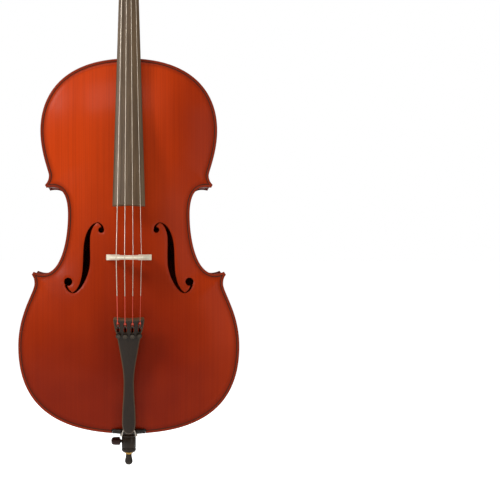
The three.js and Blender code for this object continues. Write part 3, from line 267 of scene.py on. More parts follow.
def varnished_back():
    """Back: mirrored flame either side of the joint, darker towards the lower end and along the edge."""
    c = colours()
    f, colour, _, fine, cloud = flamed_maple("varnished_maple", c.back_bright, c.back_deep, 0.13, 0.74)
    x = f.add("ShaderNodeSeparateXYZ", {0: f.place()}).outputs[0]
    joint = f.span(f.math("ABSOLUTE", x), 0.0002, 0.0007, 0.45, 0.0)
    colour = f.mix(joint, colour, shade(c.back_deep, 0.4))
    edge = f.add("ShaderNodeAttribute", attribute_name="edge").outputs["Fac"]
    colour = f.mix(f.span(edge, 0.0065, 0.016, 0.45, 0.0), colour, shade(c.back_deep, 0.5))
    colour = f.mix(f.span(edge, 0.0042, 0.0052, 1.0, 0.0), colour,
                   f.mix(f.span(cloud, 0.35, 0.65), shade(c.edge_colour, 0.6), shade(c.edge_colour, 0.45)))
    rough = f.span(cloud, 0.3, 0.7, 0.28, 0.40)
    return f.surface(Base_Color=colour, Roughness=rough, Normal=f.bump(fine, 0.00008, 0.4), **VARNISH_COAT)


def varnished_ribs(name="varnished_rib", attribute="grain"):
    """Ribs: flame running across the depth, under a glossier varnish."""
    c = colours()
    f, colour, _, fine, cloud = flamed_maple(
        name, c.rib_colour, shade(c.rib_colour, 0.62), 0.1, 0.7, attribute, 0.6)
    rough = f.span(cloud, 0.3, 0.7, 0.28, 0.40)
    return f.surface(Base_Color=colour, Roughness=rough, Normal=f.bump(fine, 0.00008, 0.4), IOR=1.45,
                     Specular_IOR_Level=0.25, Coat_Weight=0.3, Coat_Roughness=0.14, Coat_IOR=1.4)


def neck_maple():
    """Bare oiled maple along the neck, running into varnish at the head and at the foot of the heel."""
    c = colours()
    f, bare, stripes, fine, cloud = flamed_maple(
        "neck_maple", c.neck_colour, shade(c.neck_colour, 0.82), 0.8, 1.2, flame=0.25)
    z = f.add("ShaderNodeSeparateXYZ", {0: f.place()}).outputs[2]
    wander = f.span(cloud, 0.3, 0.7, -0.004, 0.004)
    height = f.math("ADD", z, wander)
    head = f.span(height, 1.086, 1.104)
    foot = f.span(height, 0.846, 0.828)
    varnish = f.mix(f.span(stripes, 0.36, 0.66, 0.0, 0.45), shade(c.back_bright, 1.05), shade(c.back_deep, 0.9))
    coloured = f.math("MAXIMUM", head, foot)
    colour = f.mix(coloured, bare, varnish)
    rough = f.math("ADD", f.math("MULTIPLY", coloured, -0.16), f.span(cloud, 0.3, 0.7, 0.46, 0.58))
    return f.surface(Base_Color=colour, Roughness=rough, Normal=f.bump(fine, 0.00010, 0.5), IOR=1.45,
                     Specular_IOR_Level=0.4, Coat_Weight=0.15, Coat_Roughness=0.2)


def plain_wood(name, colour, grain=(260, 260, 7), rough=0.6, contrast=0.35):
    """Unvarnished wood: a straight grain with small pores and a cloudy tone."""
    f = Finish(name)
    lines = f.noise(f.place(grain), detail=3, distortion=0.15)
    cloud = f.noise(f.place((18, 18, 8)), detail=4)
    tone = f.mix(f.span(cloud, 0.3, 0.7), colour, shade(colour, 0.86))
    mixed = f.mix(f.span(lines, 0.42, 0.66, 0.0, contrast), tone, shade(colour, 0.5))
    wear = f.span(f.noise(f.place((70, 70, 70)), detail=5), 0.35, 0.65, rough - 0.06, rough + 0.08)
    return f.surface(Base_Color=mixed, Roughness=wear, Normal=f.bump(lines, 0.0002, 0.6))


def streaked_board():
    """Fingerboard: dark wood with lighter lengthwise streaks and a hand-polished sheen."""
    c = colours()
    f = Finish("streaked_ebony")
    streaks = f.noise(f.place((170, 60, 0.7)), detail=3, distortion=0.1)
    fine = f.noise(f.place((1400, 600, 14)), detail=2)
    cloud = f.noise(f.place((20, 20, 4)), detail=3)
    base = f.mix(f.span(streaks, 0.25, 0.72), c.board_dark, c.board_light)
    base = f.mix(f.span(fine, 0.52, 0.72, 0.0, 0.35), base, shade(c.board_dark, 0.5))
    base = f.mix(f.span(cloud, 0.35, 0.7, 0.0, 0.3), base, shade(c.board_dark, 0.8))
    rough = f.span(cloud, 0.3, 0.7, 0.40, 0.52)
    return f.surface(Base_Color=base, Roughness=rough, Normal=f.bump(fine, 0.00006, 0.4), Specular_IOR_Level=0.3)


def ebony(name, colour, rough=0.34, highlight_gain=2.2, bevel=0.0):
    """Polished black wood or composite, with a painted highlight on edges that stand proud and, when a bevel width is
    given, along the bevel.
    """
    f = Finish(name)
    fine = f.noise(f.place((500, 500, 22)), detail=3)
    cloud = f.noise(f.place((60, 60, 30)), detail=4)
    pointed = f.add("ShaderNodeNewGeometry").outputs["Pointiness"]
    # Painted highlight on edges that stand proud, broken up by the cloud.
    painted_highlight = f.math("MULTIPLY", f.span(pointed, 0.52, 0.60), f.span(cloud, 0.3, 0.65, 0.25, 1.0))
    if bevel:
        edge = f.add("ShaderNodeAttribute", attribute_name="edge").outputs["Fac"]
        painted_highlight = f.math("MAXIMUM", painted_highlight, f.span(edge, 0.0, bevel, 0.8, 0.0))
    base = f.mix(f.span(fine, 0.45, 0.7, 0.0, 0.5), colour, shade(colour, 0.5))
    # The lighter copy of the colour is the painted highlight.
    base = f.mix(painted_highlight, base, shade(colour, 1 + highlight_gain * 2))
    finish = f.span(cloud, 0.3, 0.7, rough - 0.05, rough + 0.09)
    return f.surface(Base_Color=base, Roughness=finish, Normal=f.bump(fine, 0.00006, 0.5), Specular_IOR_Level=0.3)


def metal(name, colour, rough=0.28, tarnish=0.35):
    """Metal with fine working marks and a little tarnish."""
    f = Finish(name)
    marks = f.noise(f.place((40, 40, 1200)), detail=3)
    cloud = f.noise(f.place((90, 90, 90)), detail=5)
    base = f.mix(f.span(cloud, 0.42, 0.72, 0.0, tarnish), colour, shade(colour, 0.45))
    finish = f.math("ADD", f.span(marks, 0.3, 0.7, rough - 0.06, rough + 0.08), f.span(cloud, 0.4, 0.8, 0.0, 0.12))
    return f.surface(Base_Color=base, Roughness=finish, Metallic=1.0, Normal=f.bump(marks, 0.00003, 0.4))


def wound_wire(name, colour, turns, rough=0.3, metallic=1.0):
    """Flat winding round a core: fine rings along the string's own length, stored with the wire."""
    f = Finish(name)
    where = f.place((1, 1, turns), "grain")
    wave = f.add("ShaderNodeTexWave", {"Vector": where, "Scale": 1.0}, wave_type="BANDS", bands_direction="Z")
    rings = wave.outputs["Fac"]
    cloud = f.noise(f.place((300, 300, 60)), detail=4)
    base = f.mix(f.span(rings, 0.1, 0.6, 0.35, 0.0),
                 f.mix(f.span(cloud, 0.4, 0.7, 0.0, 0.4), colour, shade(colour, 0.6)), shade(colour, 0.35))
    finish = f.span(cloud, 0.3, 0.7, rough - 0.05, rough + 0.1)
    return f.surface(Base_Color=base, Roughness=finish, Metallic=metallic, Normal=f.bump(rings, 0.00012, 0.6))


def rubber():
    """Matt black rubber, dusty where it meets the floor."""
    f = Finish("rubber")
    grit = f.noise(f.place((900, 900, 900)), detail=4)
    cloud = f.noise(f.place((120, 120, 120)), detail=5)
    dusty = f.add("ShaderNodeSeparateXYZ", {0: f.place()}).outputs[2]
    base = f.mix(f.span(cloud, 0.3, 0.7), (0.020, 0.016, 0.012), (0.040, 0.030, 0.022))
    base = f.mix(f.span(dusty, 0.006, 0.0, 0.0, 0.6), base, (0.11, 0.095, 0.08))
    return f.surface(Base_Color=base, Roughness=f.span(cloud, 0.3, 0.7, 0.62, 0.8), Normal=f.bump(grit, 0.00012, 0.6),
                     Specular_IOR_Level=0.3)


def painted(name, colour, rough=0.5):
    """Dyed strip or thread: one tone broken by fine fibre."""
    f = Finish(name)
    fibre = f.noise(f.place((700, 700, 700)), detail=3)
    base = f.mix(f.span(fibre, 0.35, 0.7, 0.0, 0.5), colour, shade(colour, 0.6))
    return f.surface(Base_Color=base, Roughness=f.span(fibre, 0.3, 0.7, rough - 0.08, rough + 0.08),
                     Normal=f.bump(fibre, 0.00005, 0.4), Specular_IOR_Level=0.2)


FINISHES = {}


def finish(name):
    """The named finish, made the first time that a piece asks for it."""
    if name not in FINISHES:
        c = colours()
        makers = {
            "varnished_spruce": varnished_spruce,
            "varnished_maple": varnished_back,
            "varnished_rib": varnished_ribs,
            "neck_maple": neck_maple,
            "streaked_ebony": streaked_board,
            "rubber": rubber,
            "bare_spruce": lambda: plain_wood("bare_spruce", c.inside_wood),
            "bridge_maple": lambda: plain_wood("bridge_maple", c.bridge_colour, (16, 700, 500), 0.55, 0.22),
            "f_edge": lambda: plain_wood("f_edge", shade(c.top_deep, 0.8), rough=0.5),
            "polished_ebony": lambda: ebony("polished_ebony", c.ebony_colour),
            "black_fitting": lambda: ebony("black_fitting", c.fitting_colour, 0.36, 2.6),
            "dark_knob": lambda: ebony("dark_knob", c.knob_colour, 0.3, 1.2),
            "block_varnish": lambda: varnished_ribs("block_varnish", None),
            # The tailpiece also gets a painted highlight along its bevel.
            "tail_black": lambda: ebony("tail_black", c.fitting_colour, 0.38, 2.8, bevel=0.0032),
            "screw_black": lambda: metal("screw_black", (0.085, 0.07, 0.055), 0.28, tarnish=0.5),
            "brass": lambda: metal("brass", c.brass_colour, 0.24),
            "steel": lambda: metal("steel", (0.62, 0.62, 0.63), 0.24, tarnish=0.2),
            "string_steel": lambda: wound_wire("string_steel", (0.88, 0.76, 0.62), 260, 0.36),
            "silk": lambda: wound_wire("silk", c.silk_colour, 330, 0.6, 0.0),
            "cord": lambda: painted("cord", (0.52, 0.47, 0.40), 0.6),
            "dyed_strip": lambda: painted("dyed_strip", (0.016, 0.004, 0.002), 0.5),
            "pale_strip": lambda: painted("pale_strip", (0.055, 0.012, 0.004), 0.5),
        }
        FINISHES[name] = makers[name]()
    return FINISHES[name]


# ------------------------------------------------------------------ meshes


def add_object(name, data):
    thing = bpy.data.objects.new(name, data)
    bpy.context.scene.collection.objects.link(thing)
    return thing


def ring_angles(count):
    """Angles evenly spaced round a circle."""
    return np.linspace(0, 2 * math.pi, count, endpoint=False)


def make_piece(name, points, faces, finishes, body=CORPUS, replaces=(), slot=None, which=None, crease=38,
               stored=None):
    """A mesh piece in millimetres, given its finishes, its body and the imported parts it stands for."""
    mesh = bpy.data.meshes.new(name)
    mesh.from_pydata([Vector(p) * MM for p in points], [], [tuple(int(i) for i in face) for face in faces])
    for finish_name in finishes:
        mesh.materials.append(finish(finish_name))
    if which is not None:
        mesh.polygons.foreach_set("material_index", np.asarray(which, np.int32))
    for key, values in (stored or {}).items():
        values = np.asarray(values, float) * MM
        kind = "FLOAT" if values.ndim == 1 else "FLOAT_VECTOR"
        mesh.attributes.new(key, kind, "POINT").data.foreach_set(
            "value" if values.ndim == 1 else "vector", values.ravel())
    mesh.validate()
    mesh.shade_smooth()
    mesh.set_sharp_from_angle(angle=math.radians(crease))
    piece = add_object(name, mesh)
    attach(piece, body)
    if replaces:
        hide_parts(*replaces)
    return piece


def bevelled(points, faces, width):
    """The same solid with its sharp edges rounded over."""
    made = bmesh.new()
    corners = [made.verts.new(Vector(p)) for p in points]
    for face in faces:
        made.faces.new([corners[int(i)] for i in face])
    bmesh.ops.recalc_face_normals(made, faces=made.faces)
    sharp = [e for e in made.edges if len(e.link_faces) == 2 and e.calc_face_angle(0) > math.radians(30)]
    bmesh.ops.bevel(made, geom=sharp, offset=width, segments=2, profile=0.6, affect="EDGES", clamp_overlap=True)
    made.verts.index_update()
    result = [v.co.copy() for v in made.verts], [[v.index for v in f.verts] for f in made.faces]
    made.free()
    return result


def lofted(rings):
    """Skin over rings of equal count, in order, closed by a fan at each end."""
    count = len(rings[0])
    points = [Vector(p) for ring in rings for p in ring]
    faces = []
    for a in range(0, (len(rings) - 1) * count, count):
        b = a + count
        faces += [(a + k, a + (k + 1) % count, b + (k + 1) % count, b + k) for k in range(count)]
    for start, flip in ((0, True), ((len(rings) - 1) * count, False)):
        centre = sum((points[start + k] for k in range(count)), Vector()) / count
        points.append(centre)
        middle = len(points) - 1
        for k in range(count):
            pair = (start + k, start + (k + 1) % count)
            faces.append((middle, pair[1], pair[0]) if flip else (middle, *pair))
    return points, faces


def turned(profile, sides=48, ripple=None):
    """A piece turned on its axis Z from (radius, height) pairs; ripple changes the radius round the axis."""
    rings = []
    for radius, height in profile:
        ring = []
        for k in range(sides):
            angle = 2 * math.pi * k / sides
            r = radius + (ripple(angle, radius, height) if ripple else 0)
            ring.append((r * math.cos(angle), r * math.sin(angle), height))
        rings.append(ring)
    return lofted(rings)


def softened(profile, radius=0.4):
    """A turned profile with its corners cut by short chamfers."""
    out = [profile[0]]
    for before, here, after in zip(profile, profile[1:], profile[2:]):
        here = Vector(here)
        for other in (Vector(before), Vector(after)):
            run = other - here
            out.append(tuple(here + run.normalized() * min(radius, run.length * 0.4)))
    return out + [profile[-1]]


def smooth_path(points, per_span):
    """Points along a smooth curve through the given ones."""
    p = [Vector(q) for q in points]
    p = [2 * p[0] - p[1], *p, 2 * p[-1] - p[-2]]
    path = []
    for a, b, c, d in zip(p, p[1:], p[2:], p[3:]):
        for k in range(per_span):
            t = k / per_span
            path.append(0.5 * (2 * b + (c - a) * t + (2 * a - 5 * b + 4 * c - d) * t * t
                               + (3 * b - a - 3 * c + d) * t ** 3))
    return path + [p[-2]]


def wire(path, radius, sides=12, thickness=None):
    """A round wire along a path. The stored grain is the place round and along it."""
    path = [Vector(q) for q in path]
    tangents = [(b - a).normalized() for a, b in zip(path, path[1:])]
    tangents = [tangents[0]] + [(a + b).normalized() for a, b in zip(tangents, tangents[1:])] + [tangents[-1]]
    across = tangents[0].orthogonal().normalized()
    rings, grain, run = [], [], 0.0
    for i, (here, along) in enumerate(zip(path, tangents)):
        across = (across - along * across.dot(along)).normalized()
        up = along.cross(across)
        run += (here - path[i - 1]).length if i else 0
        ring = []
        for k in range(sides):
            angle = 2 * math.pi * k / sides
            r = radius if thickness is None else thickness(angle, run)
            ring.append(here + (across * math.cos(angle) + up * math.sin(angle)) * r)
            grain.append((radius * math.cos(angle), radius * math.sin(angle), run))
        rings.append(ring)
    points, faces = lofted(rings)
    grain += [(0, 0, 0), (0, 0, run)]
    return points, faces, grain


def joined(*parts):
    """Several (points, faces) solids as one."""
    points, faces = [], []
    for more_points, more_faces in parts:
        base = len(points)
        points += list(more_points)
        faces += [tuple(int(k) + base for k in face) for face in more_faces]
    return points, faces


def placed(matrix, part):
    return [matrix @ Vector(p) for p in part[0]], part[1]


# ------------------------------------------------------------------ flat work: outlines and sheets cut from them


def bezier(points, steps):
    """Points along a curve given by its two ends and two handles."""
    a, b, c, d = (np.array(p, float) for p in points)
    t = np.linspace(0, 1, steps + 1)[:, None]
    return a * (1 - t) ** 3 + 3 * b * t * (1 - t) ** 2 + 3 * c * t ** 2 * (1 - t) + d * t ** 3


def chained(*curves):
    """Curves end to end, each shared point kept once."""
    return np.vstack([curve if i == 0 else curve[1:] for i, curve in enumerate(curves)])


def respaced(loop, step):
    """The same loop with its points a step apart, its sharp corners kept."""
    out = []
    for a, b in zip(loop, np.roll(loop, -1, 0)):
        count = max(1, round(float(np.hypot(*(b - a))) / step))
        out += [a + (b - a) * k / count for k in range(count)]
    return np.array(out)


def within(points, loop):
    """Which points lie inside a loop."""
    x, z = points.T
    inside = np.zeros(len(points), bool)
    for (ax, az), (bx, bz) in zip(loop, np.roll(loop, -1, 0)):
        if az != bz:
            inside ^= ((az > z) != (bz > z)) & (x < (bx - ax) * (z - az) / (bz - az) + ax)
    return inside


def distance_to(points, loop):
    """Distance from each point to the nearest place on a closed line."""
    ends = np.roll(loop, -1, 0)
    best = np.full(len(points), np.inf)
    for k in range(0, len(loop), 48):
        a, run = loop[k:k + 48], (ends - loop)[k:k + 48]
        rel = points[:, None] - a
        t = np.clip((rel * run).sum(-1) / np.maximum((run ** 2).sum(-1), 1e-12), 0, 1)
        best = np.minimum(best, np.hypot(*np.moveaxis(rel - t[..., None] * run, -1, 0)).min(1))
    return best


def offset(loop, distance, way):
    """A loop moved sideways, inwards for way 1 and outwards for way -1."""
    after, before = np.roll(loop, -1, 0), np.roll(loop, 1, 0)
    run = after - before
    turn = np.sign(np.sum(loop[:, 0] * after[:, 1] - after[:, 0] * loop[:, 1])) * way
    normal = np.column_stack([-run[:, 1], run[:, 0]]) / np.maximum(np.hypot(*run.T), 1e-9)[:, None] * turn
    return loop + normal * distance


def cut_sheet(outer, holes, rings, hole_rings, spacing, coarse, front, back, lift, bands=(), guide=None):
    """A sheet cut to an outline, with holes. Its two faces follow front and back heights over the flat.

    outer is the outline, and guide the same line without its notches, if it has any. rings are the distances in from
    the guide, and hole_rings from the holes, that get their own line of points on the front. spacing is the step
    between the front's other points. coarse holds the back's step, then its distances in.
    bands are (near, far, finish index) strips along the guide on the front. lift turns (x, z, height) into a point.
    Returns points, faces, finish indices (-1 for the walls of holes) and each point's distance from the guide.
    """
    guide = outer if guide is None else guide

    def edge_distance(points):
        """Distance from the guide, and from the nearest edge of any kind."""
        away = distance_to(points, guide)
        near = away
        for hole in holes:
            near = np.minimum(near, distance_to(points, hole))
        return away, near

    def in_material(points):
        keep = within(points, outer)
        for hole in holes:
            keep &= ~within(points, hole)
        return keep

    points, edges = [], []

    def add_line(line, keep):
        base = len(points)
        index = np.cumsum(keep) - 1 + base
        points.extend(line[keep])
        for i in range(len(line)):
            j = (i + 1) % len(line)
            if keep[i] and keep[j]:
                edges.append((int(index[i]), int(index[j])))

    # the front: lines along the outline and the holes, then a lattice between them
    for loop in (outer, *holes):
        add_line(loop, np.ones(len(loop), bool))
    for loop, distances, way in [(guide, rings, 1)] + [(hole, hole_rings, -1) for hole in holes]:
        for distance in distances:
            line = offset(loop, distance, way)
            near = edge_distance(line)[1]
            add_line(line, in_material(line) & (near > distance * 0.96))

    def grid(step, clear):
        low, high = outer.min(0), outer.max(0)
        rows = np.arange(low[1] + step / 2, high[1], step * 0.866)
        out = []
        for i, z in enumerate(rows):
            xs = np.arange(-math.ceil(-low[0] / step) * step, high[0], step) + (step / 2 if i % 2 else 0)
            out.append(np.column_stack([xs, np.full(len(xs), z)]))
        out = np.vstack(out)
        out = out[in_material(out)]
        keep = distance_to(out, guide) > (max(rings) if rings else 0) + clear
        keep &= distance_to(out, outer) > clear
        for hole in holes:
            keep &= distance_to(out, hole) > (max(hole_rings) if hole_rings else 0) + clear
        return out[keep]

    points.extend(grid(spacing, spacing * 0.55))
    made = delaunay_2d_cdt([Vector(p) for p in points], edges, [], 0, 1e-4, False)
    flat = np.array([tuple(v) for v in made[0]])
    faces = np.array(made[2])
    faces = faces[in_material(flat[faces].mean(1))]
    used = np.unique(faces)
    remap = np.full(len(flat), -1)
    remap[used] = np.arange(len(used))
    flat, faces = flat[used], remap[faces]
    away, near = edge_distance(flat)
    centre = distance_to(flat[faces].mean(1), guide)
    which = np.zeros(len(faces), int)
    for low, high, index in bands:
        which[(centre > low) & (centre < high)] = index

    # the back: the same rim, with fewer points inside it
    sides = np.sort(np.vstack([faces[:, [0, 1]], faces[:, [1, 2]], faces[:, [2, 0]]]), 1)
    unique, counts = np.unique(sides, axis=0, return_counts=True)
    rim = unique[counts == 1]
    rim_points = np.unique(rim)
    place = {int(p): i for i, p in enumerate(rim_points)}
    inner = list(flat[rim_points])
    inner_edges = [(place[int(a)], place[int(b)]) for a, b in rim]
    for distance in coarse[1:]:
        for loop, way in [(guide, 1)] + [(hole, -1) for hole in holes]:
            line = offset(loop, distance, way)
            inner.extend(line[in_material(line) & (edge_distance(line)[1] > distance * 0.96)])
    inner.extend(grid(coarse[0], coarse[0] * 0.5))
    under = delaunay_2d_cdt([Vector(p) for p in inner], inner_edges, [], 0, 1e-4, True)
    under_flat = np.array([tuple(v) for v in under[0]])
    under_faces = np.array(under[2])
    under_faces = under_faces[in_material(under_flat[under_faces].mean(1))]
    partner = {}
    for i, sources in enumerate(under[3]):
        for source in sources:
            if source < len(rim_points):
                partner[int(rim_points[source])] = i

    top = lift(flat[:, 0], flat[:, 1], front(flat, away, near))
    under_away, under_near = edge_distance(under_flat)
    bottom = lift(under_flat[:, 0], under_flat[:, 1], back(under_flat, under_away, under_near))
    base = len(top)
    all_faces = [tuple(f) for f in faces] + [tuple(base + f[::-1]) for f in under_faces]
    which = list(which) + [0] * len(under_faces)

    # the walls between them
    directed = {(int(f[k]), int(f[(k + 1) % 3])) for f in faces for k in range(3)}
    for a, b in rim:
        a, b = int(a), int(b)
        if (a, b) not in directed:
            a, b = b, a
        all_faces.append((b, a, base + partner[a], base + partner[b]))
        which.append(-1 if min(away[a], away[b]) > 1 else 0)
    return np.vstack([top, bottom]), all_faces, np.array(which), np.concatenate([away, under_away])


# ------------------------------------------------------------------ the body's own lines


class Body:
    """The outline and arching, worked out once from the sizes."""

    def __init__(self):
        s = sizes()
        self.low = BACK_LOW.z
        self.length = s.body_length / MM
        self.top = self.low + self.length
        self.half_rib = s.rib_height / MM / 2
        self.thick = s.plate_thickness / MM
        self.rise = s.arch_rise / MM
        self.hang = s.overhang / MM
        self.half_low = s.lower_bout / MM / 2
        self.runs = self.outline_runs(s.upper_bout / MM / 2, s.middle_bout / MM / 2, self.half_low)
        self.arch_grid()

    def outline_runs(self, upper, middle, lower):
        """The treble half of the outline as one run for each rib, from the top down."""
        upper_bout = chained(
            bezier([(0, self.length), (123, self.length), (upper, 691), (upper, 610)], 90),
            bezier([(upper, 610), (upper, 566), (160.8, 527), (160.8, 520)], 30),
            bezier([(160.8, 520), (160.8, 512), (163.9, 505.6), (168.9, 500.6)], 10))
        waist = chained(
            bezier([(165.7, 494.6), (131.7, 503.1), (middle, 475), (middle, 441)], 30),
            bezier([(middle, 441), (middle, 389), (137.5, 301), (191.5, 326)], 60))
        lower_bout = chained(
            bezier([(195.5, 320), (191.5, 315), (189.8, 310), (189.8, 302)], 10),
            bezier([(189.8, 302), (189.8, 284), (lower, 243), (lower, 176)], 50),
            bezier([(lower, 176), (lower, 63), (155, 0), (0, 0)], 110))
        return [run + (0, self.low) for run in (upper_bout, waist, lower_bout)]

    def inset(self, run, distance):
        """A run moved inwards; inwards is to the right of the way it goes."""
        before, after = np.vstack([run[:1], run[:-1]]), np.vstack([run[1:], run[-1:]])
        way = after - before
        moved = run + np.column_stack([way[:, 1], -way[:, 0]]) / np.hypot(*way.T)[:, None] * distance
        for end in (0, -1):
            if abs(run[end, 0]) < 1e-6:
                inwards = 1 if run[end, 1] < self.low + self.length / 2 else -1
                moved[end] = (0, run[end, 1] + inwards * distance)
        return moved

    def outline(self, distance=0.0):
        """The closed outline, moved inwards by a distance."""
        line = self.inset(self.runs[0], distance)
        for run in self.runs[1:]:
            line = join_runs(line, self.inset(run, distance))
        other = (line * (-1, 1))[::-1][1:-1]
        return np.vstack([line, other])

    def arch_grid(self):
        """Height of the arching over a fine grid, eased so that no crease runs in from the corners."""
        self.step = 3.0
        self.xs = np.arange(-self.half_low - 15, self.half_low + 15.1, self.step)
        self.zs = np.arange(self.low - 15, self.top + 15, self.step)
        x, z = (a.ravel() for a in np.meshgrid(self.xs, self.zs, indexing="ij"))
        where = np.column_stack([x, z])
        rim = self.outline(11)
        deep = np.where(within(where, rim), distance_to(where, rim), 0)
        climb = 1 - (1 - np.clip(deep / 118, 0, 1)) ** 2.1
        middle = self.low + self.length / 2
        height = self.rise * climb * (1 - 0.18 * ((x / self.half_low) ** 2 + ((z - middle) / (self.length / 2)) ** 2))
        height = height.reshape(len(self.xs), len(self.zs))
        for _ in range(8):
            for axis in (0, 1):
                height = (np.roll(height, 1, axis) + 2 * height + np.roll(height, -1, axis)) / 4
        self.heights = height

    def arch(self, points):
        """Height of the arching at each point, read between the grid's own."""
        u = (points[:, 0] - self.xs[0]) / self.step
        v = (points[:, 1] - self.zs[0]) / self.step
        i = np.clip(u.astype(int), 0, len(self.xs) - 2)
        j = np.clip(v.astype(int), 0, len(self.zs) - 2)
        a, b = u - i, v - j
        h = self.heights
        return ((h[i, j] * (1 - a) + h[i + 1, j] * a) * (1 - b) + (h[i, j + 1] * (1 - a) + h[i + 1, j + 1] * a) * b)


def join_runs(first, second):
    """Two runs joined where they cross, or end to end where they don't."""
    reach = 40
    a, b = first[-reach:-1], first[-reach:][1:]
    for i in range(len(a)):
        for j in range(min(reach, len(second) - 1) - 1, -1, -1):
            c, d = second[j], second[j + 1]
            run, other = b[i] - a[i], d - c
            det = run[0] * other[1] - run[1] * other[0]
            if abs(det) < 1e-12:
                continue
            t = ((c[0] - a[i][0]) * other[1] - (c[1] - a[i][1]) * other[0]) / det
            u = ((c[0] - a[i][0]) * run[1] - (c[1] - a[i][1]) * run[0]) / det
            if 0 <= t <= 1 and 0 <= u <= 1:
                keep = len(first) - min(reach, len(first)) + i + 1
                return np.vstack([first[:keep], [a[i] + run * t], second[j + 1:]])
    return np.vstack([first, second])


WORKSHOP = {}


def body():
    if "body" not in WORKSHOP:
        WORKSHOP["body"] = Body()
    return WORKSHOP["body"]


def f_hole(side):
    """The f-hole as three overlapping loops: the stem with its wings, and the two eyes."""
    low = body().low
    stem = chained(
        bezier([(61.6, 425.2), (78, 423.5), (88.2, 402), (90.6, 377)], 22),
        bezier([(90.6, 377), (92.5, 352), (91, 328), (95.6, 311.7)], 26),
        bezier([(95.6, 311.7), (98, 301), (103.5, 289), (112.5, 284.6)], 16),
        bezier([(112.5, 284.6), (118, 288), (121.5, 292.5), (123.2, 298)], 8),
        bezier([(129, 302.5), (127.5, 291.5), (118.5, 283), (111, 283.2)], 14),
        bezier([(111, 283.2), (98, 284), (83, 311), (78.6, 334)], 28),
        bezier([(78.6, 334), (75.8, 350), (78.3, 375), (77.4, 394)], 28),
        bezier([(77.4, 394), (76.4, 407), (71, 421), (62.2, 424)], 18),
        bezier([(62.2, 424), (59.5, 422), (56, 419), (54.6, 415.2)], 8),
        bezier([(49.5, 411.5), (50.5, 418), (55, 423), (61.6, 425.2)], 12))[:-1]
    angles = ring_angles(36)
    eyes = [np.column_stack([x + r * np.cos(angles), z + r * np.sin(angles)])
            for x, z, r in ((55.1, 409.6, 5.8), (121.6, 306, 8.2))]
    return [loop * (side, 1) + (0, low) for loop in (stem, *eyes)]


def notched(line, half, limit, upper):
    """The outline with a square notch, half wide each side, in to a height."""
    inside = (np.abs(line[:, 0]) < half) & ((line[:, 1] > limit) if upper else (line[:, 1] < limit))
    kept = line[~inside]
    if upper:
        mouth = line[0, 1] - 0.5
        return np.vstack([[(half, limit), (half, mouth)], kept, [(-half, mouth), (-half, limit)]])
    split = int(np.argmax(np.hypot(*(np.roll(kept, -1, 0) - kept).T)[5:-5])) + 6
    foot = kept[split - 1][1]
    corners = [(half, foot), (half, limit), (-half, limit), (-half, foot)]
    return np.vstack([kept[:split], corners, kept[split:]])


OUTLINE_STEP = 2.6
SADDLE_HALF = 33
HEEL_WIDTH = 42.2
EDGE_RINGS = (0.35, 1.0, 2.0, 3.2, 5.8, 8.5, 11.5, 15.5, 20)
PURFLING = (0.5, 0.8, 0.5)  # dark, pale, dark


def make_plate(name, side, line, holes, slot, finishes):
    """One arched plate with rounded edges, a hollow channel along them and a three-strip purfling."""
    b = body()
    first = sizes().purfling_inset / MM
    strips = [first, first + PURFLING[0], first + PURFLING[0] + PURFLING[1], first + sum(PURFLING)]
    rings = sorted([r for r in EDGE_RINGS if not first - 0.3 < r < strips[-1] + 0.3] + strips)
    outline = b.outline()

    def front(points, away, near):
        rim = distance_to(points, outline)
        rounding = 2.1 * (1 - np.sqrt(1 - (1 - np.clip(rim / 2.6, 0, 1)) ** 2))
        channel = 1.2 * np.exp(-((rim - 8.5) / 4.0) ** 2)
        nick = 0.25 * (np.abs(rim - strips[0]) < 0.02)
        lip = 0.5 * (1 - np.clip((near if holes else away + 9) / 0.6, 0, 1)) ** 2 * (rim > 20)
        return b.half_rib + b.thick + b.arch(points) - rounding - channel - nick - lip

    def back(points, away, near):
        rim = distance_to(points, outline)
        rounding = 1.9 * (1 - np.sqrt(1 - (1 - np.clip(rim / 2.0, 0, 1)) ** 2))
        return b.half_rib + b.arch(points) + rounding

    def lift(x, z, height):
        return np.column_stack([x, side * height, z])

    bands = [(strips[0], strips[1], 1), (strips[1], strips[2], 2), (strips[2], strips[3], 1)]
    points, faces, which, away = cut_sheet(
        line, holes, rings, (0.6,), 5.0, (15, 2.0, 4.0), front, back, lift, bands,
        respaced(outline, OUTLINE_STEP))
    if side > 0:
        faces = [face[::-1] for face in faces]
    which = np.where(which < 0, len(finishes) - 1, which)
    rim = distance_to(points[:, [0, 2]], outline)
    return make_piece(name, points, faces, finishes, replaces=[name], slot=slot, which=which, crease=50,
                      stored={"edge": rim})


def make_top():
    """The top, notched round the neck's heel and round the saddle."""
    b = body()
    line = notched(respaced(b.outline(), OUTLINE_STEP), HEEL_WIDTH / 2 + 0.4, b.top - 9.3, True)
    line = notched(line, SADDLE_HALF + 0.3, b.low + 10.3, False)
    holes = f_hole(-1) + f_hole(1)
    make_plate("top_plate", -1, line, holes, "varnished_spruce",
               ["varnished_spruce", "dyed_strip", "pale_strip", "f_edge"])


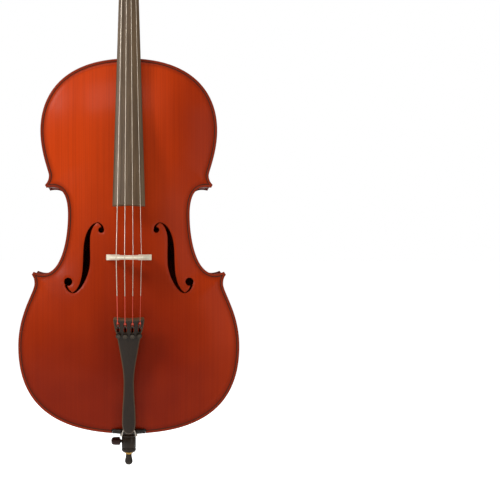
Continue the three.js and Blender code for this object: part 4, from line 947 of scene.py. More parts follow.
def make_back():
    """The back, with its button behind the neck's heel."""
    b = body()
    line = respaced(b.outline(), OUTLINE_STEP)
    make_plate("back_plate", 1, line, [], "varnished_maple", ["varnished_maple", "dyed_strip", "pale_strip", "f_edge"])
    half, high = 15, 25
    arc = bezier([(half, high - half + 2), (half, high + 1), (-half, high + 1), (-half, high - half + 2)], 24)
    button = np.vstack([[(half, -9)], arc, [(-half, -9)]])
    rings = []
    for inset, depth in ((0.9, 0), (0.1, 0.9), (0, 2.2), (0.3, 3.6), (1.2, 4.4), (2.2, 4.5)):
        scale = (half - inset) / half
        rings.append([(x * scale, b.half_rib + 0.1 + depth * 0.97, b.top + (z - 5) * scale + 5) for x, z in button])
    points, faces = lofted(rings)
    make_piece("back_button", points, faces, ["varnished_maple"], slot="varnished_maple", crease=60,
               stored={"edge": [12.0] * len(points)})


RIB_THICKNESS = 1.5


def make_ribs():
    """Six bent ribs, each thin, with its flame running across the body's depth."""
    b = body()
    depth = b.half_rib - 0.3
    for row, run in zip(("upper", "middle", "lower"), b.runs):
        for word, side in (("bass", -1), ("treble", 1)):
            outer, inner = b.inset(run, b.hang), b.inset(run, b.hang + RIB_THICKNESS)
            limit = {"upper": 21.8, "lower": 12.6, "middle": 0}[row]
            keep = (np.abs(run[:, 0]) > limit) | (row == "middle")
            outer, inner = outer[keep], inner[keep]
            if row == "middle":
                outer, inner = outer[2:-3], inner[2:-3]
            run_length = np.concatenate([[0], np.cumsum(np.hypot(*np.diff(outer, axis=0).T))])
            rings, grain = [], []
            levels = np.linspace(-depth, depth, 9)
            for (ox, oz), (ix, iz), far in zip(outer, inner, run_length):
                rings.append([(side * ox, y, oz) for y in levels] + [(side * ix, y, iz) for y in levels[::-1]])
                grain += [(far, y, 0) for y in levels] + [(far, y, 9) for y in levels[::-1]]
            points, faces = lofted(rings)
            grain += [(0, 0, 0), (0, 0, 0)]
            if side > 0:
                faces = [face[::-1] for face in faces]
            name = f"rib_{row}_{word}"
            make_piece(name, points, faces, ["varnished_rib"], replaces=[name], slot="varnished_rib",
                       stored={"grain": grain})


# ------------------------------------------------------------------ neck, head, fingerboard and pegs


def turned_frame(origin, degrees):
    """A frame at an origin, tipped about X."""
    return Matrix.Translation(Vector(origin)) @ Matrix.Rotation(math.radians(degrees), 4, "X")


def neck_frame():
    """Z runs up the fingerboard's glue plane from the body's edge, +Y goes into the neck."""
    b = body()
    return turned_frame((0, -b.half_rib - b.thick - BOARD_LIFT, b.top), -NECK_TILT)


NECK_TILT = 9.6
BOARD_LIFT = 21  # glue plane over the top's edge
NUT_UP = 281.0
HEAD_UP = 290.0
BOARD_LENGTH = 586.0
BOARD_RADIUS = 61.0
BOARD_EDGE = 6.5  # thickness of the fingerboard at its sides


def board_half(up):
    """Half the fingerboard's width at a height up the neck."""
    s = sizes()
    return np.interp(up, [NUT_UP - BOARD_LENGTH, NUT_UP], [s.board_end_width / MM / 2, s.board_nut_width / MM / 2])


def board_top(up, x):
    """Height of the playing surface over the glue plane, as local Y."""
    half = board_half(up)
    centre = -BOARD_EDGE + math.sqrt(BOARD_RADIUS ** 2 - half ** 2)
    return centre - math.sqrt(max(BOARD_RADIUS ** 2 - x ** 2, 0))


def make_fingerboard():
    """A long tapered board, rounded across, scooped out under its free end."""
    rings = []
    low = NUT_UP - BOARD_LENGTH
    stations = [low, low + 0.3, low + 1.0, low + 2.2] + list(np.linspace(low + 8, NUT_UP - 0.3, 60))
    for up in stations:
        pull = {0: 1.2, 1: 0.5, 2: 0.12}.get(stations.index(up), 0)
        half = board_half(up) - pull
        scoop = 9.5 * min(1, max(0, (-12 - up) / 60)) * (1 if up > low + 3 else 0.97)
        ring = []
        for k in range(25):
            x = half * (1 - 2 * k / 24)
            bow = 0.5 * math.sin(math.pi * min(max((up - low) / BOARD_LENGTH, 0), 1))
            ring.append((x, board_top(up, x) + pull + bow, up))
        ring[0] = (half - 0.5, ring[0][1] + 0.1, up)
        ring[-1] = (0.5 - half, ring[-1][1] + 0.1, up)
        ring.insert(0, (half, ring[0][1] + 0.7, up))
        ring.append((-half, ring[-1][1] + 0.7, up))
        ring.append((-half, -0.5, up))
        ring.append((-half + 0.5, 0, up))
        for k in range(17):
            x = (half - 5) * (-1 + 2 * k / 16)
            ring.append((x, -scoop * math.cos(x / (half - 5) * math.pi / 2) ** 0.7, up))
        ring.append((half - 0.5, 0, up))
        ring.append((half, -0.5, up))
        rings.append(ring)
    part = placed(neck_frame(), lofted(rings))
    make_piece("fingerboard", *part, ["streaked_ebony"], replaces=["fingerboard"], slot="ebony", crease=45)


def make_nut():
    """Nut with a rounded back and a shallow groove under each string."""
    half = board_half(NUT_UP)
    rings = []
    for x in np.linspace(-half, half, 93):
        drop = min(half - abs(x), 0.8)
        ease = 0.8 - math.sqrt(max(0.64 - (0.8 - drop) ** 2, 0))
        groove = sum(math.exp(-((x - PLACE[s] * NUT_GAP) / 0.75) ** 2) for s in STRINGS)
        top = board_top(NUT_UP, x) - 2.0 + ease + groove
        ring = [(x, -0.3, NUT_UP + 0.02), (x, top + 0.4, NUT_UP + 0.02), (x, top, NUT_UP + 0.5),
                (x, top + 0.1, NUT_UP + 3)]
        ring += [(x, top + 0.1 + 3.6 * (1 - math.cos(a)), NUT_UP + 3 + 5.6 * math.sin(a))
                 for a in np.linspace(0.25, math.pi / 2, 7)]
        ring.append((x, -0.3, HEAD_UP - 0.4))
        rings.append(ring)
    part = placed(neck_frame(), lofted(rings))
    make_piece("nut", *part, ["polished_ebony"], replaces=["nut"], slot="ebony", crease=50)


def neck_section(half, front, back, power, taper):
    """Half-round section from the glue plane round the back, as (x, y) pairs."""
    ring = [(half, front)]
    for k in range(41):
        angle = math.pi * k / 40
        c, s = math.cos(angle), math.sin(angle)
        y = front + 1.5 + (back - front - 1.5) * abs(s) ** power
        narrow = 1 - (1 - taper) * (y - front) / max(back - front, 1)
        ring.append((half * math.copysign(abs(c) ** power, c) * narrow, y))
    return ring + [(-half, front)]


HEEL_FOOT = 29.0


def neck_shaft():
    """Neck and heel as level slices: round behind the fingerboard, deep and square at the body."""
    b = body()
    slope, lean = math.tan(math.radians(NECK_TILT)), math.cos(math.radians(NECK_TILT))
    frame_y = -b.half_rib - b.thick - BOARD_LIFT

    def glue(z):
        """The fingerboard's glue plane, with a hair of space under the board."""
        return frame_y + (z - b.top) * slope + 0.35

    foot_back = b.half_rib - 0.3
    neck_back = glue(b.top + 74) + 19.8
    curve = bezier([(foot_back, 24.2), (22, 25.5), (neck_back + 9, 28), (neck_back, 74)], 30)
    stations = [(foot_back, b.top - 9), (foot_back, b.top + 10), (foot_back, b.top + 20), (foot_back, b.top + 23.4)]
    stations += [(y, b.top + z) for y, z in curve]
    for up in np.linspace(84, HEAD_UP - 6, 30):
        z = b.top + up * lean
        depth = np.interp(up, [0, NUT_UP], [21, 18]) / lean
        stations.append((glue(z) + depth, z))
    rings = []
    for back, z in stations:
        front = glue(z)
        up = (z - b.top) / lean
        deep = min(max((back - front - 24) / 60, 0), 1)
        half = board_half(up) - 0.2
        taper = 1 - (1 - HEEL_FOOT / 42.0) * deep
        rings.append([(x, y, z) for x, y in neck_section(half, front, back, 1 - 0.62 * deep, taper)])
    return lofted(rings)


SCROLL_EYE = (9.0, HEAD_UP + 161.0)
SCROLL_START, SCROLL_END = -0.35, 4.6 * math.pi


def volute_radius(angle):
    """How far the scroll's outside lies from the eye at a turn."""
    return 37.0 * math.exp(-0.092 * angle)


def volute_half(angle):
    """Half the width of the scroll at a turn: narrow over the top, widening to the eye."""
    widening = 15.8 * max(0.0, (angle - 0.6) / (SCROLL_END - 0.6)) ** 1.15
    return 14.2 + widening + 1.6 * math.exp(-((angle - SCROLL_START) / 0.7) ** 2)


def scroll():
    """The volute: a fluted band wound in on itself, each turn standing out further than the last.

    It rises out of the pegbox, where rise is 1, and sinks into the eye at its end.
    """
    rings = []
    for angle in np.linspace(SCROLL_START, SCROLL_END, 330):
        rise = math.exp(-((angle - SCROLL_START) / 0.16) ** 2)
        sunk = max(0.0, (angle - 13.4) / 1.05) ** 2
        r, half = volute_radius(angle) - 2.8 * rise - 2.9 * sunk, volute_half(angle) - 1.0 * rise
        under = volute_radius(angle + 2 * math.pi) if angle < 2.6 * math.pi else 2.0
        under = min(under, r - 0.8)
        flute = 1.7 * min(1, r / 20)
        row = []
        for k in range(-9, 10):
            u = k / 9
            x = (half - 1.1) * u
            row.append((x, r - flute * abs(math.sin(math.pi * u)) ** 0.9))
        right = [(half - 0.25, r - 0.35), (half, r - 1.1)]
        for t in (0.12, 0.35, 0.6, 0.85, 1.0):
            dish = 1.9 * math.sin(math.pi * min(t, 0.9) * 0.9) ** 0.8
            right.append((half - dish, r - 1.1 - (r - 1.1 - under) * t))
        left = [(-x, q) for x, q in right][::-1]
        ring = []
        for x, q in left + row + right:
            ring.append((x, SCROLL_EYE[0] + q * math.cos(angle), SCROLL_EYE[1] + q * math.sin(angle)))
        rings.append(ring)
    right = [(7.4, 20), (7.2, 28), (6.6, 29.6), (4.5, 30.6), (0.1, 30.6)]
    eye_points, eye_faces = turned([(r, -h) for r, h in right[::-1]] + right, 40)
    boss = [Vector((z, SCROLL_EYE[0] + x, SCROLL_EYE[1] + y)) for x, y, z in eye_points], eye_faces
    return joined(lofted(rings), boss)


def pegbox_half(up):
    """Half the pegbox's width at a height over the nut's end."""
    return float(np.interp(up, [8, 125], [21, 16]))


CHEEK = 7.4


def pegbox():
    """Cheeks and back of the pegbox, hollowed between them, with a ridge down the back."""
    start = -0.3
    reach = volute_radius(start)
    top = (SCROLL_EYE[0] + reach * math.cos(start), SCROLL_EYE[1] - HEAD_UP + reach * math.sin(start))
    back = chained(bezier([(17.5, -14), (33, -5), (37, 18), (36.4, 42)], 16),
                   bezier([(36.4, 42), (35.4, 80), (37, 122), top], 24))
    back = np.vstack([back, (top[0] - 2.5, top[1] + 1.5), (top[0] - 5, top[1] + 12)])
    rings, hollow = [], []
    for y, up in back:
        front = 0.4 if up < 0.2 else np.interp(up, [0.2, 112, 150], [-1, 9, 9])
        half = pegbox_half(up)
        if up < 12:
            half = float(np.interp(up, [-14, 0, 12], [board_half(NUT_UP) - 0.2, 15.9, pegbox_half(12)]))
        if up > 110:
            half = min(half, np.interp(up, [110, top[1], top[1] + 1.5], [pegbox_half(110), 15.6, 13.2]))
        ring = [(half - 0.7, front), (half, front + 0.7)]
        for k in range(1, 5):
            ring.append((half, front + 0.7 + (y - 5 - front - 0.7) * k / 4))
        for k in range(13):
            u = 1 - k / 6
            ridge = 1.5 * math.sin(math.pi * abs(u)) if up > -6 else 0
            ring.append(((half - 0.9) * u, y - 0.9 - ridge - 3.2 * abs(u) ** 5))
        ring += [(-x, q) for x, q in ring[:6]][::-1]
        rings.append([(x, q, HEAD_UP + up) for x, q in ring])
    for up, floor in ((5, 22), (9, 24.5), (40, 28), (100, 26.5), (118, 22), (123, 14)):
        half = pegbox_half(up) - CHEEK
        ring = [(half, -22), (half, floor - 4), (half * 0.8, floor - 1), (half * 0.4, floor), (-half * 0.4, floor),
                (-half * 0.8, floor - 1), (-half, floor - 4), (-half, -22)]
        hollow.append([(x, q, HEAD_UP + up) for x, q in ring])
    return lofted(rings), lofted(hollow)


def cut_away(part, tool):
    """part with tool's space taken out of it."""
    made = []
    for points, faces in (part, tool):
        mesh = bpy.data.meshes.new("cut")
        mesh.from_pydata([Vector(p) for p in points], [], [tuple(f) for f in faces])
        work = bmesh.new()
        work.from_mesh(mesh)
        bmesh.ops.recalc_face_normals(work, faces=work.faces)
        work.to_mesh(mesh)
        work.free()
        made.append(add_object("cut", mesh))
    modifier = made[0].modifiers.new("hollow", "BOOLEAN")
    modifier.operation = "DIFFERENCE"
    modifier.solver = "EXACT"
    modifier.object = made[1]
    result = made[0].evaluated_get(bpy.context.evaluated_depsgraph_get()).to_mesh()
    points = [v.co.copy() for v in result.vertices]
    faces = [tuple(p.vertices) for p in result.polygons]
    for thing in made:
        mesh = thing.data
        bpy.data.objects.remove(thing)
        bpy.data.meshes.remove(mesh)
    return points, faces


def make_neck():
    """Neck, heel, pegbox and scroll as one piece of maple."""
    box, hollow = pegbox()
    head = placed(neck_frame(), joined(cut_away(box, hollow), scroll()))
    make_piece("neck_and_scroll", *joined(neck_shaft(), head), ["neck_maple"], replaces=["neck_and_scroll"],
               slot="bare_maple", crease=42)


PEGS = {"c": (26, -1), "a": (51, 1), "g": (77, -1), "d": (102, 1)}  # height up the pegbox, side of the grip
PEG_DEEP = 15  # axis behind the glue plane
PEG_RADIUS = 6.6
PEG_PULL = 0.95  # how close together the strings run at the pegs, against the nut
PEG_SIDES = 48
WINDS = 4


def make_pegs():
    """Tapered pegs with a ringed collar and a thin heart-shaped grip, and the string wound on each."""
    for name, (up, side) in PEGS.items():
        outer = pegbox_half(up)
        collar, far = outer + 5, -outer - 2
        profile = [(0.2, far - 1.6), (4.4, far - 1.6), (5.2, far - 0.9), (PEG_RADIUS + far / 30, far),
                   (PEG_RADIUS + collar / 30, collar)]
        profile += [(r, collar + h) for r, h in (
            (8.6, 0.2), (9.5, 1.2), (9.5, 2.4), (8.2, 3.0), (8.0, 3.6), (8.6, 4.2), (8.0, 5.2), (6.4, 7.0), (5.2, 10),
            (4.9, 13))]
        angles = ring_angles(PEG_SIDES)
        rings = [[(r * math.cos(a), r * math.sin(a), h) for a in angles] for r, h in profile]
        for t in np.linspace(0.04, 1, 34):
            h = collar + 13 + 29 * t
            swell = math.sin(math.pi * min(t * 0.93 + 0.07, 1)) ** 0.62
            wide = 4.9 + (15.4 - 4.9) * swell if t < 0.93 else 15.4 * swell + 2.4
            thick = np.interp(t, [0, 0.25, 0.6, 0.9, 1], [4.9, 4.4, 4.9, 4.2, 1.6])
            ring = []
            for a in angles:
                c, q = math.cos(a), math.sin(a)
                hollow = 1 - 0.38 * math.sin(math.pi * min(t * 1.02, 1)) * abs(q) ** 3
                ring.append((thick * math.copysign(abs(q) ** 0.85, q) * hollow * 0.98, wide * c, h))
            quarter = PEG_SIDES // 4
            rings.append(ring[-quarter:] + ring[:-quarter])
        pip = [(0.2, 0), (1.6, 0.1), (2.6, 1.0), (2.9, 2.2), (2.6, 3.4), (1.6, 4.3), (0.2, 4.6)]
        tip = turned([(r, h + collar + 40.2) for r, h in pip], 24)
        whole = joined(lofted(rings), tip)
        turn = (neck_frame() @ Matrix.Translation((0, PEG_DEEP, HEAD_UP + up))
                @ Matrix.Rotation(side * math.pi / 2, 4, "Y"))
        make_piece(f"peg_{name}", *placed(turn, whole), ["polished_ebony"], body=f"peg_{name}",
                   replaces=[f"peg_{name}"], slot="ebony", crease=50)
        thick = STRING_RADIUS[name]
        start = side * PLACE[name] * NUT_GAP * PEG_PULL
        path = []
        for k in range(24 * WINDS + 1):
            a = -2 * math.pi * k / 24
            along = start - math.copysign(2.3 * thick * k / 24, start)
            r = PEG_RADIUS + along / 30 + thick + 0.05
            path.append((-r * math.sin(a), -r * math.cos(a), along))
        points, faces, grain = wire(path, thick, 8)
        make_piece(f"peg_winding_{name}", *placed(turn, (points, faces)), ["string_steel"], body=f"peg_{name}",
                   slot="string_metal", stored={"grain": grain})


# ------------------------------------------------------------------ strings and bridge

STRING_RADIUS = {"c": 0.85, "g": 0.7, "d": 0.55, "a": 0.45}
NUT_GAP, BRIDGE_GAP, TAIL_GAP = 7.3, 16.2, 14.6  # between neighbouring strings
OUTER_DROP = 5  # outer strings below the inner ones, at the bridge
BRIDGE_BACK = 421.4
BRIDGE_MIDDLE = 6  # half the blank's thickness
BRIDGE_STRING_Z = 427.4
STRING_TOP = -180.5
CROWN = -88.5
HOOK_UP = 231
TUNER_GAP = TAIL_GAP * 0.96
TUNER_X = {s: PLACE[s] * TAIL_GAP * 0.96 for s in STRINGS}


def tail_frame():
    """Z runs up the tailpiece from its lower end, +Y goes towards the body."""
    return turned_frame((0, -84.5, 73.9), 14.815)


TAIL_RADIUS = 56


def tail_sag(x):
    """How far the tailpiece's rounded front falls away from its middle."""
    return TAIL_RADIUS - np.sqrt(TAIL_RADIUS ** 2 - np.minimum(np.abs(x), 55) ** 2)


def string_route(name):
    """Hook, bridge, nut and peg, as world points."""
    place = PLACE[name]
    nut_x = place * NUT_GAP
    nut_y = board_top(NUT_UP, 0) - 1 + nut_x ** 2 / (2 * BOARD_RADIUS)
    hook = tail_frame() @ Vector((place * TAIL_GAP, float(tail_sag(place * TAIL_GAP)) - 1, HOOK_UP))
    bridge_top = Vector((place * BRIDGE_GAP, STRING_TOP + (OUTER_DROP if abs(place) > 1 else 0), BRIDGE_STRING_Z))
    nut = neck_frame() @ Vector((nut_x, nut_y, NUT_UP + 3))
    peg = neck_frame() @ Vector((nut_x * PEG_PULL, PEG_DEEP - PEG_RADIUS - 0.6 - STRING_RADIUS[name],
                                 HEAD_UP + PEGS[name][0]))
    return hook, bridge_top, nut, peg


def make_strings():
    """Four wound strings with wrapped silk below the bridge and behind the nut."""
    silk = sizes().silk_length / MM
    for name in STRINGS:
        hook, top, nut, peg = string_route(name)
        radius = STRING_RADIUS[name]
        below = (hook - top).normalized()
        after = (top - hook).length
        path = [hook.lerp(top, k / 40) for k in range(41)]
        path += [top.lerp(nut, k / 40) for k in range(1, 41)]
        path += [nut.lerp(peg, k / 12) for k in range(1, 13)]
        silky = [after * k / 40 < silk for k in range(41)] + [False] * 40 + [True] * 12
        sides = 10
        points, faces, grain = wire(path, radius, sides)
        which = [int(silky[min(i // sides, len(silky) - 1)]) for i in range(len(faces))]
        make_piece(f"string_{name}", points, faces, ["string_steel", "silk"], replaces=[f"string_{name}"],
                   slot="string_metal", which=which, crease=60, stored={"grain": grain})
        ball = turned([(0.15, -1.9), (1.6, -1.7), (2.1, -1.0), (2.1, 1.0), (1.6, 1.7), (0.15, 1.9)], 20)
        turn = Matrix.Translation(hook + below * -0.6) @ Matrix.Rotation(math.pi / 2, 4, "Y")
        make_piece(f"ball_end_{name}", *placed(turn, ball), ["silk"], slot="string_metal")


def make_bridge():
    """A carved bridge: two feet, a heart, kidney openings, curved top with a seat for each string."""
    right = np.array([
        (19.5, -4.2), (20.5, -6.2), (43.6, -5.9), (44.4, -4), (44, 0.5), (40.8, 4.5), (37.6, 11), (36.2, 20),
        (36.6, 29), (35.8, 36), (31.5, 40.5), (30.6, 44.5), (34.5, 47.5), (39, 51), (40.2, 56), (38.2, 61.5),
        (35, 67), (32.6, 74),
        (30.4, 81), (28.3, 85.6), (24.4, 87.8), (16.2, 90.9), (8.1, 92.5), (0, 93.1)])
    arch = np.array([(0, 38), (6, 37.2), (12.5, 33), (18.5, 26), (22, 18.5), (22.8, 10), (21.5, 3)])
    half, arch = (np.array([tuple(p)[:2] for p in smooth_path([(a, b, 0) for a, b in part], 5)])
                  for part in (right, arch))
    mirror = (-1, 1)
    outer = respaced(np.vstack([half, (half * mirror)[::-1][1:], (arch * mirror)[::-1][:-1], arch[:-1]]), 1.2)
    for name in STRINGS:
        near = np.abs(outer[:, 0] - PLACE[name] * BRIDGE_GAP)
        groove = (near < 1.6) & (outer[:, 1] > 80)
        outer[groove, 1] -= 0.9 * (1 - (near[groove] / 1.6) ** 2)
    angles = ring_angles(40)
    lobes = 6.3 * (1 + 0.28 * np.abs(np.sin(angles)) - 0.30 * np.exp(-((angles - math.pi / 2) / 0.42) ** 2))
    heart = np.column_stack([lobes * np.cos(angles), 57 + 1.35 * lobes * np.sin(angles)])
    kidneys = []
    for way in (-1, 1):
        bend = 2.6 * np.cos(angles) ** 2
        kidneys.append(np.column_stack([way * (24.5 + 9.5 * np.cos(angles)), 63 + bend + 4.2 * np.sin(angles)]))

    def half_thick(up):
        return np.interp(up, [-6, 6, 38, 93], [11.4, 11.2, 8.8, 2.8]) / 2

    def bevel(near):
        return 0.7 * (1 - np.sqrt(1 - (1 - np.clip(near / 0.8, 0, 1)) ** 2))

    def front(points, away, near):
        return BRIDGE_MIDDLE + half_thick(points[:, 1]) - bevel(near)

    def back(points, away, near):
        return BRIDGE_MIDDLE - half_thick(points[:, 1]) + bevel(near)

    def lift(x, up, height):
        return np.column_stack([x, bridge_feet(x, CROWN - up, up), BRIDGE_BACK + height])

    points, faces = cut_sheet(
        outer, [heart, *kidneys], (0.3, 0.8), (0.3, 0.8), 2.2, (5, 0.3, 0.8), front, back, lift)[:2]
    make_piece("bridge", points, [f[::-1] for f in faces], ["bridge_maple"], replaces=["bridge"],
               slot="bridge_maple", crease=55)


def bridge_feet(x, y, up):
    """The soles follow the arching; higher up nothing moves."""
    b = body()
    x, y, up = np.broadcast_arrays(x, y, up)
    under = np.column_stack([x, np.full(len(x), BRIDGE_BACK + BRIDGE_MIDDLE)])
    surface = -(b.half_rib + b.thick + b.arch(under)) - 0.35
    share = np.clip((1 - up) / 4.0, 0, 1)
    return y * (1 - share) + np.minimum(y, surface) * share


# ------------------------------------------------------------------ tailpiece, tuners, saddle and tailgut


def tail_outline():
    """Pear-shaped outline, up from the foot, in the tailpiece's own frame."""
    top, waist, foot, high = 30.5, 10.2, 13.5, 239.8
    half = chained(
        bezier([(0, 0), (foot * 0.7, 0), (foot, 9), (foot, 24)], 16),
        bezier([(foot, 24), (foot, 60), (waist, 70), (waist, 110)], 30),
        bezier([(waist, 110), (waist, 138), (top - 12, 175), (top - 10, 189)], 30),
        bezier([(top - 10, 189), (top - 7, 207), (top - 1.5, 220), (top, 235)], 20),
        bezier([(top, 235), (top, 238), (top - 1.5, 239.4), (top - 5, 239.5)], 6))
    line = np.vstack([half, [(0, high)], (half * (-1, 1))[::-1][:-1]])
    return respaced(line, 2.0)


LUG_REACH = 26.4
AXLE_DEEP, AXLE_UP = 14.5, 219
SCREW_UP = 207


def make_tailpiece():
    """A tapered shell, rounded across, with a bevel all round, a fret for the strings and a slot at each tuner."""
    outer = tail_outline()
    angles = ring_angles(24)
    ends = np.where(np.sin(angles) > 0, 230.5, 215.5)
    slots = [np.column_stack([x + 2.9 * np.cos(angles), ends + 2.9 * np.sin(angles)]) for x in TUNER_X.values()]

    def front(points, away, near):
        sag = tail_sag(points[:, 0])
        bevel = 2.2 * np.clip(1 - away / 2.6, 0, 1) ** 1.2
        lip = 0.6 * np.clip(1 - near / 0.8, 0, 1) ** 2
        fret = 1.1 * np.exp(-((points[:, 1] - 236.6) / 1.3) ** 2)
        return -sag - bevel - lip * (near < away) + fret

    def back(points, away, near):
        up = points[:, 1]
        deep = np.interp(up, [0, 60, 72, 243], [7.6, 7.6, 5.0, 5.0])
        rim = 9.0 * np.exp(-np.clip(away - 1.6, 0, 50) / 1.5) * np.interp(up, [60, 80], [0, 1])
        flat = np.interp(up, [60, 72], [1, 0])
        sag = tail_sag(points[:, 0]) * (1 - flat)
        return -(sag + deep + rim * (away < 8)) + 0.5 * np.clip(1 - away / 0.6, 0, 1)

    def lift(x, up, height):
        return np.column_stack([x, -height, up])

    points, faces, _, away = cut_sheet(
        outer, slots, (0.5, 1.3, 2.6, 4.2), (0.4, 0.9), 3.6, (6, 1.6, 3.4, 5.5), front, back, lift)
    lugs = []
    for step in (-2, -1, 0, 1, 2):
        x = step * TUNER_GAP
        low = float(tail_sag(x)) + 3.5
        x = max(-LUG_REACH, min(LUG_REACH, x))
        block = [(x + a, y, z) for y in (low, 18.4) for z in (215, 223) for a in (-1.4, 1.4)]
        block_faces = [(0, 1, 3, 2), (4, 6, 7, 5), (0, 4, 5, 1), (2, 3, 7, 6), (0, 2, 6, 4), (1, 5, 7, 3)]
        lugs.append(bevelled(block, block_faces, 0.5))
    points, faces = joined(*(placed(tail_frame(), part) for part in ((points, faces), *lugs)))
    # Distance in from the outline, which the finish reads for the painted highlight along the bevel.
    edge = list(away) + [9.0] * (len(points) - len(away))
    make_piece("tailpiece", points, faces, ["tail_black"], replaces=["tailpiece"], slot="black_fitting", crease=44,
               stored={"edge": edge})


def make_tuners():
    """Knurled screws through the tailpiece, bent levers on one axle and a hooked end for each string."""
    for name in STRINGS:
        x = TUNER_X[name]
        seat = float(tail_sag(max(abs(x) - 4.7, 0))) + 1.2
        arm = AXLE_DEEP - 0.6 - 0.3
        head = 6.5 - seat

        def knurl(angle, radius, height):
            return -0.28 * (math.sin(angle * 26) > 0) if radius > 4.4 and 0.8 - seat < height < head - 0.7 else 0

        profile = [(0.1, -arm), (1.1, -arm), (1.5, -arm + 0.5), (1.5, -seat), (3.6, -seat), (4.5, 0.5 - seat),
                   (4.7, 0.9 - seat), (4.7, 2.6 - seat), (4.7, head - 0.8), (4.4, head - 0.3), (3.7, head),
                   (3.2, head - 0.1), (2.9, head - 0.7), (1.2, head - 0.5), (0.1, head - 0.45)]
        turn = tail_frame() @ Matrix.Translation((x, 0, SCREW_UP)) @ Matrix.Rotation(math.pi / 2, 4, "X")
        make_piece(f"tuner_screw_{name}", *placed(turn, turned(profile, 104, knurl)), ["screw_black"],
                   body=f"tuner_screw_{name}", replaces=[f"tuner_screw_{name}"], slot="black_fitting", crease=35)
        hook = float(tail_sag(x)) - 1.2 - AXLE_DEEP
        side = [(3.2, -2.6), (3.4, 0), (3.2, 2.6), (1.2, 4.6), (-2, 9.4), (hook + 1.2, 10), (hook, 9.2), (hook, 6.4),
                (hook + 1.0, 6), (-3.2, 4.2), (-3.4, 0.6), (-2.4, -2.4), (-0.6, -4.6), (-0.6, -14.4), (0.2, -15),
                (2.0, -15), (2.6, -14.2), (2.8, -6)]
        half = 1.8
        points = [(a, y, z) for a in (-half, half) for y, z in side]
        count = len(side)
        faces = [tuple(range(count)), tuple(range(2 * count - 1, count - 1, -1))]
        faces += [(k, (k + 1) % count, count + (k + 1) % count, count + k) for k in range(count)]
        turn = tail_frame() @ Matrix.Translation((x, AXLE_DEEP, AXLE_UP))
        make_piece(f"tuner_lever_{name}", *placed(turn, bevelled(points, faces, 0.35)), ["screw_black"],
                   body=f"tuner_lever_{name}", replaces=[f"tuner_lever_{name}"], slot="steel", crease=35)


def make_saddle():
    """Ebony block with sloping ends and a rounded top, notched for the two strands."""
    b = body()
    high = b.half_rib + b.thick
    low = b.low + 0.7
    wide = 9.2
    rings = []
    for x in np.linspace(-SADDLE_HALF, SADDLE_HALF, 89):
        rise = 10.4 * min(1.0, max(0.0, (SADDLE_HALF - abs(x)) / 15.0)) ** 0.8
        notch = sum(1.5 * math.exp(-((x - way * 13.2) / 1.7) ** 2) for way in (-1, 1))
        top = high + max(rise, 3) - notch
        ring = [(x, -b.half_rib - 0.4, low), (x, -high, low)]
        for a in np.linspace(0.1, math.pi - 0.1, 11):
            across = wide / 2 * math.cos(a) * (1 if math.cos(a) < 0 else 0.96)
            ring.append((x, -(top - 3.6 + 3.6 * math.sin(a) ** 0.8), low + wide / 2 - across))
        ring += [(x, -high, low + wide), (x, -b.half_rib - 0.4, low + wide)]
        rings.append(ring)
    make_piece("saddle", *lofted(rings), ["polished_ebony"], replaces=["saddle"], slot="ebony", crease=50)


def make_tailgut():
    """One twisted cord: out of the tailpiece, over the saddle and round the plug's groove."""
    radius = 1.3
    groove = 64.6
    ring = 13 + radius + 0.6
    top = -76.6
    strand = [(6, -81.0, 95.9), (8, -80.7, 85.9), (12, top - 0.5, 78.4), (14, top + 2, 71.4), (15, top + 8, 68.9),
              (16.5, -50, 67.4), (ring + 1, -22, groove + 1), (ring + 0.3, -5, groove)]
    loop = [(ring * 0.74, ring * 0.74, groove), (0, ring + 0.3, groove)]
    half = strand + loop
    path = smooth_path(half + [(-x, y, z) for x, y, z in half[:-1]][::-1], 26)

    def strands(angle, run):
        return radius * (0.86 + 0.14 * abs(math.sin(1.5 * angle - run * 1.25)))

    points, faces, grain = wire(path, radius, 18, strands)
    make_piece("tailgut", points, faces, ["cord"], replaces=["tailgut"], slot="tailgut_cord", crease=80,
               stored={"grain": grain})


# ------------------------------------------------------------------ endpin


PLUG_RADIUS = 14.75
PLUG_LOW, BUSHING_LOW, ROD_LOW = 26.6, 21.8, 8.3
THUMB_SCREW_Z = 48.6


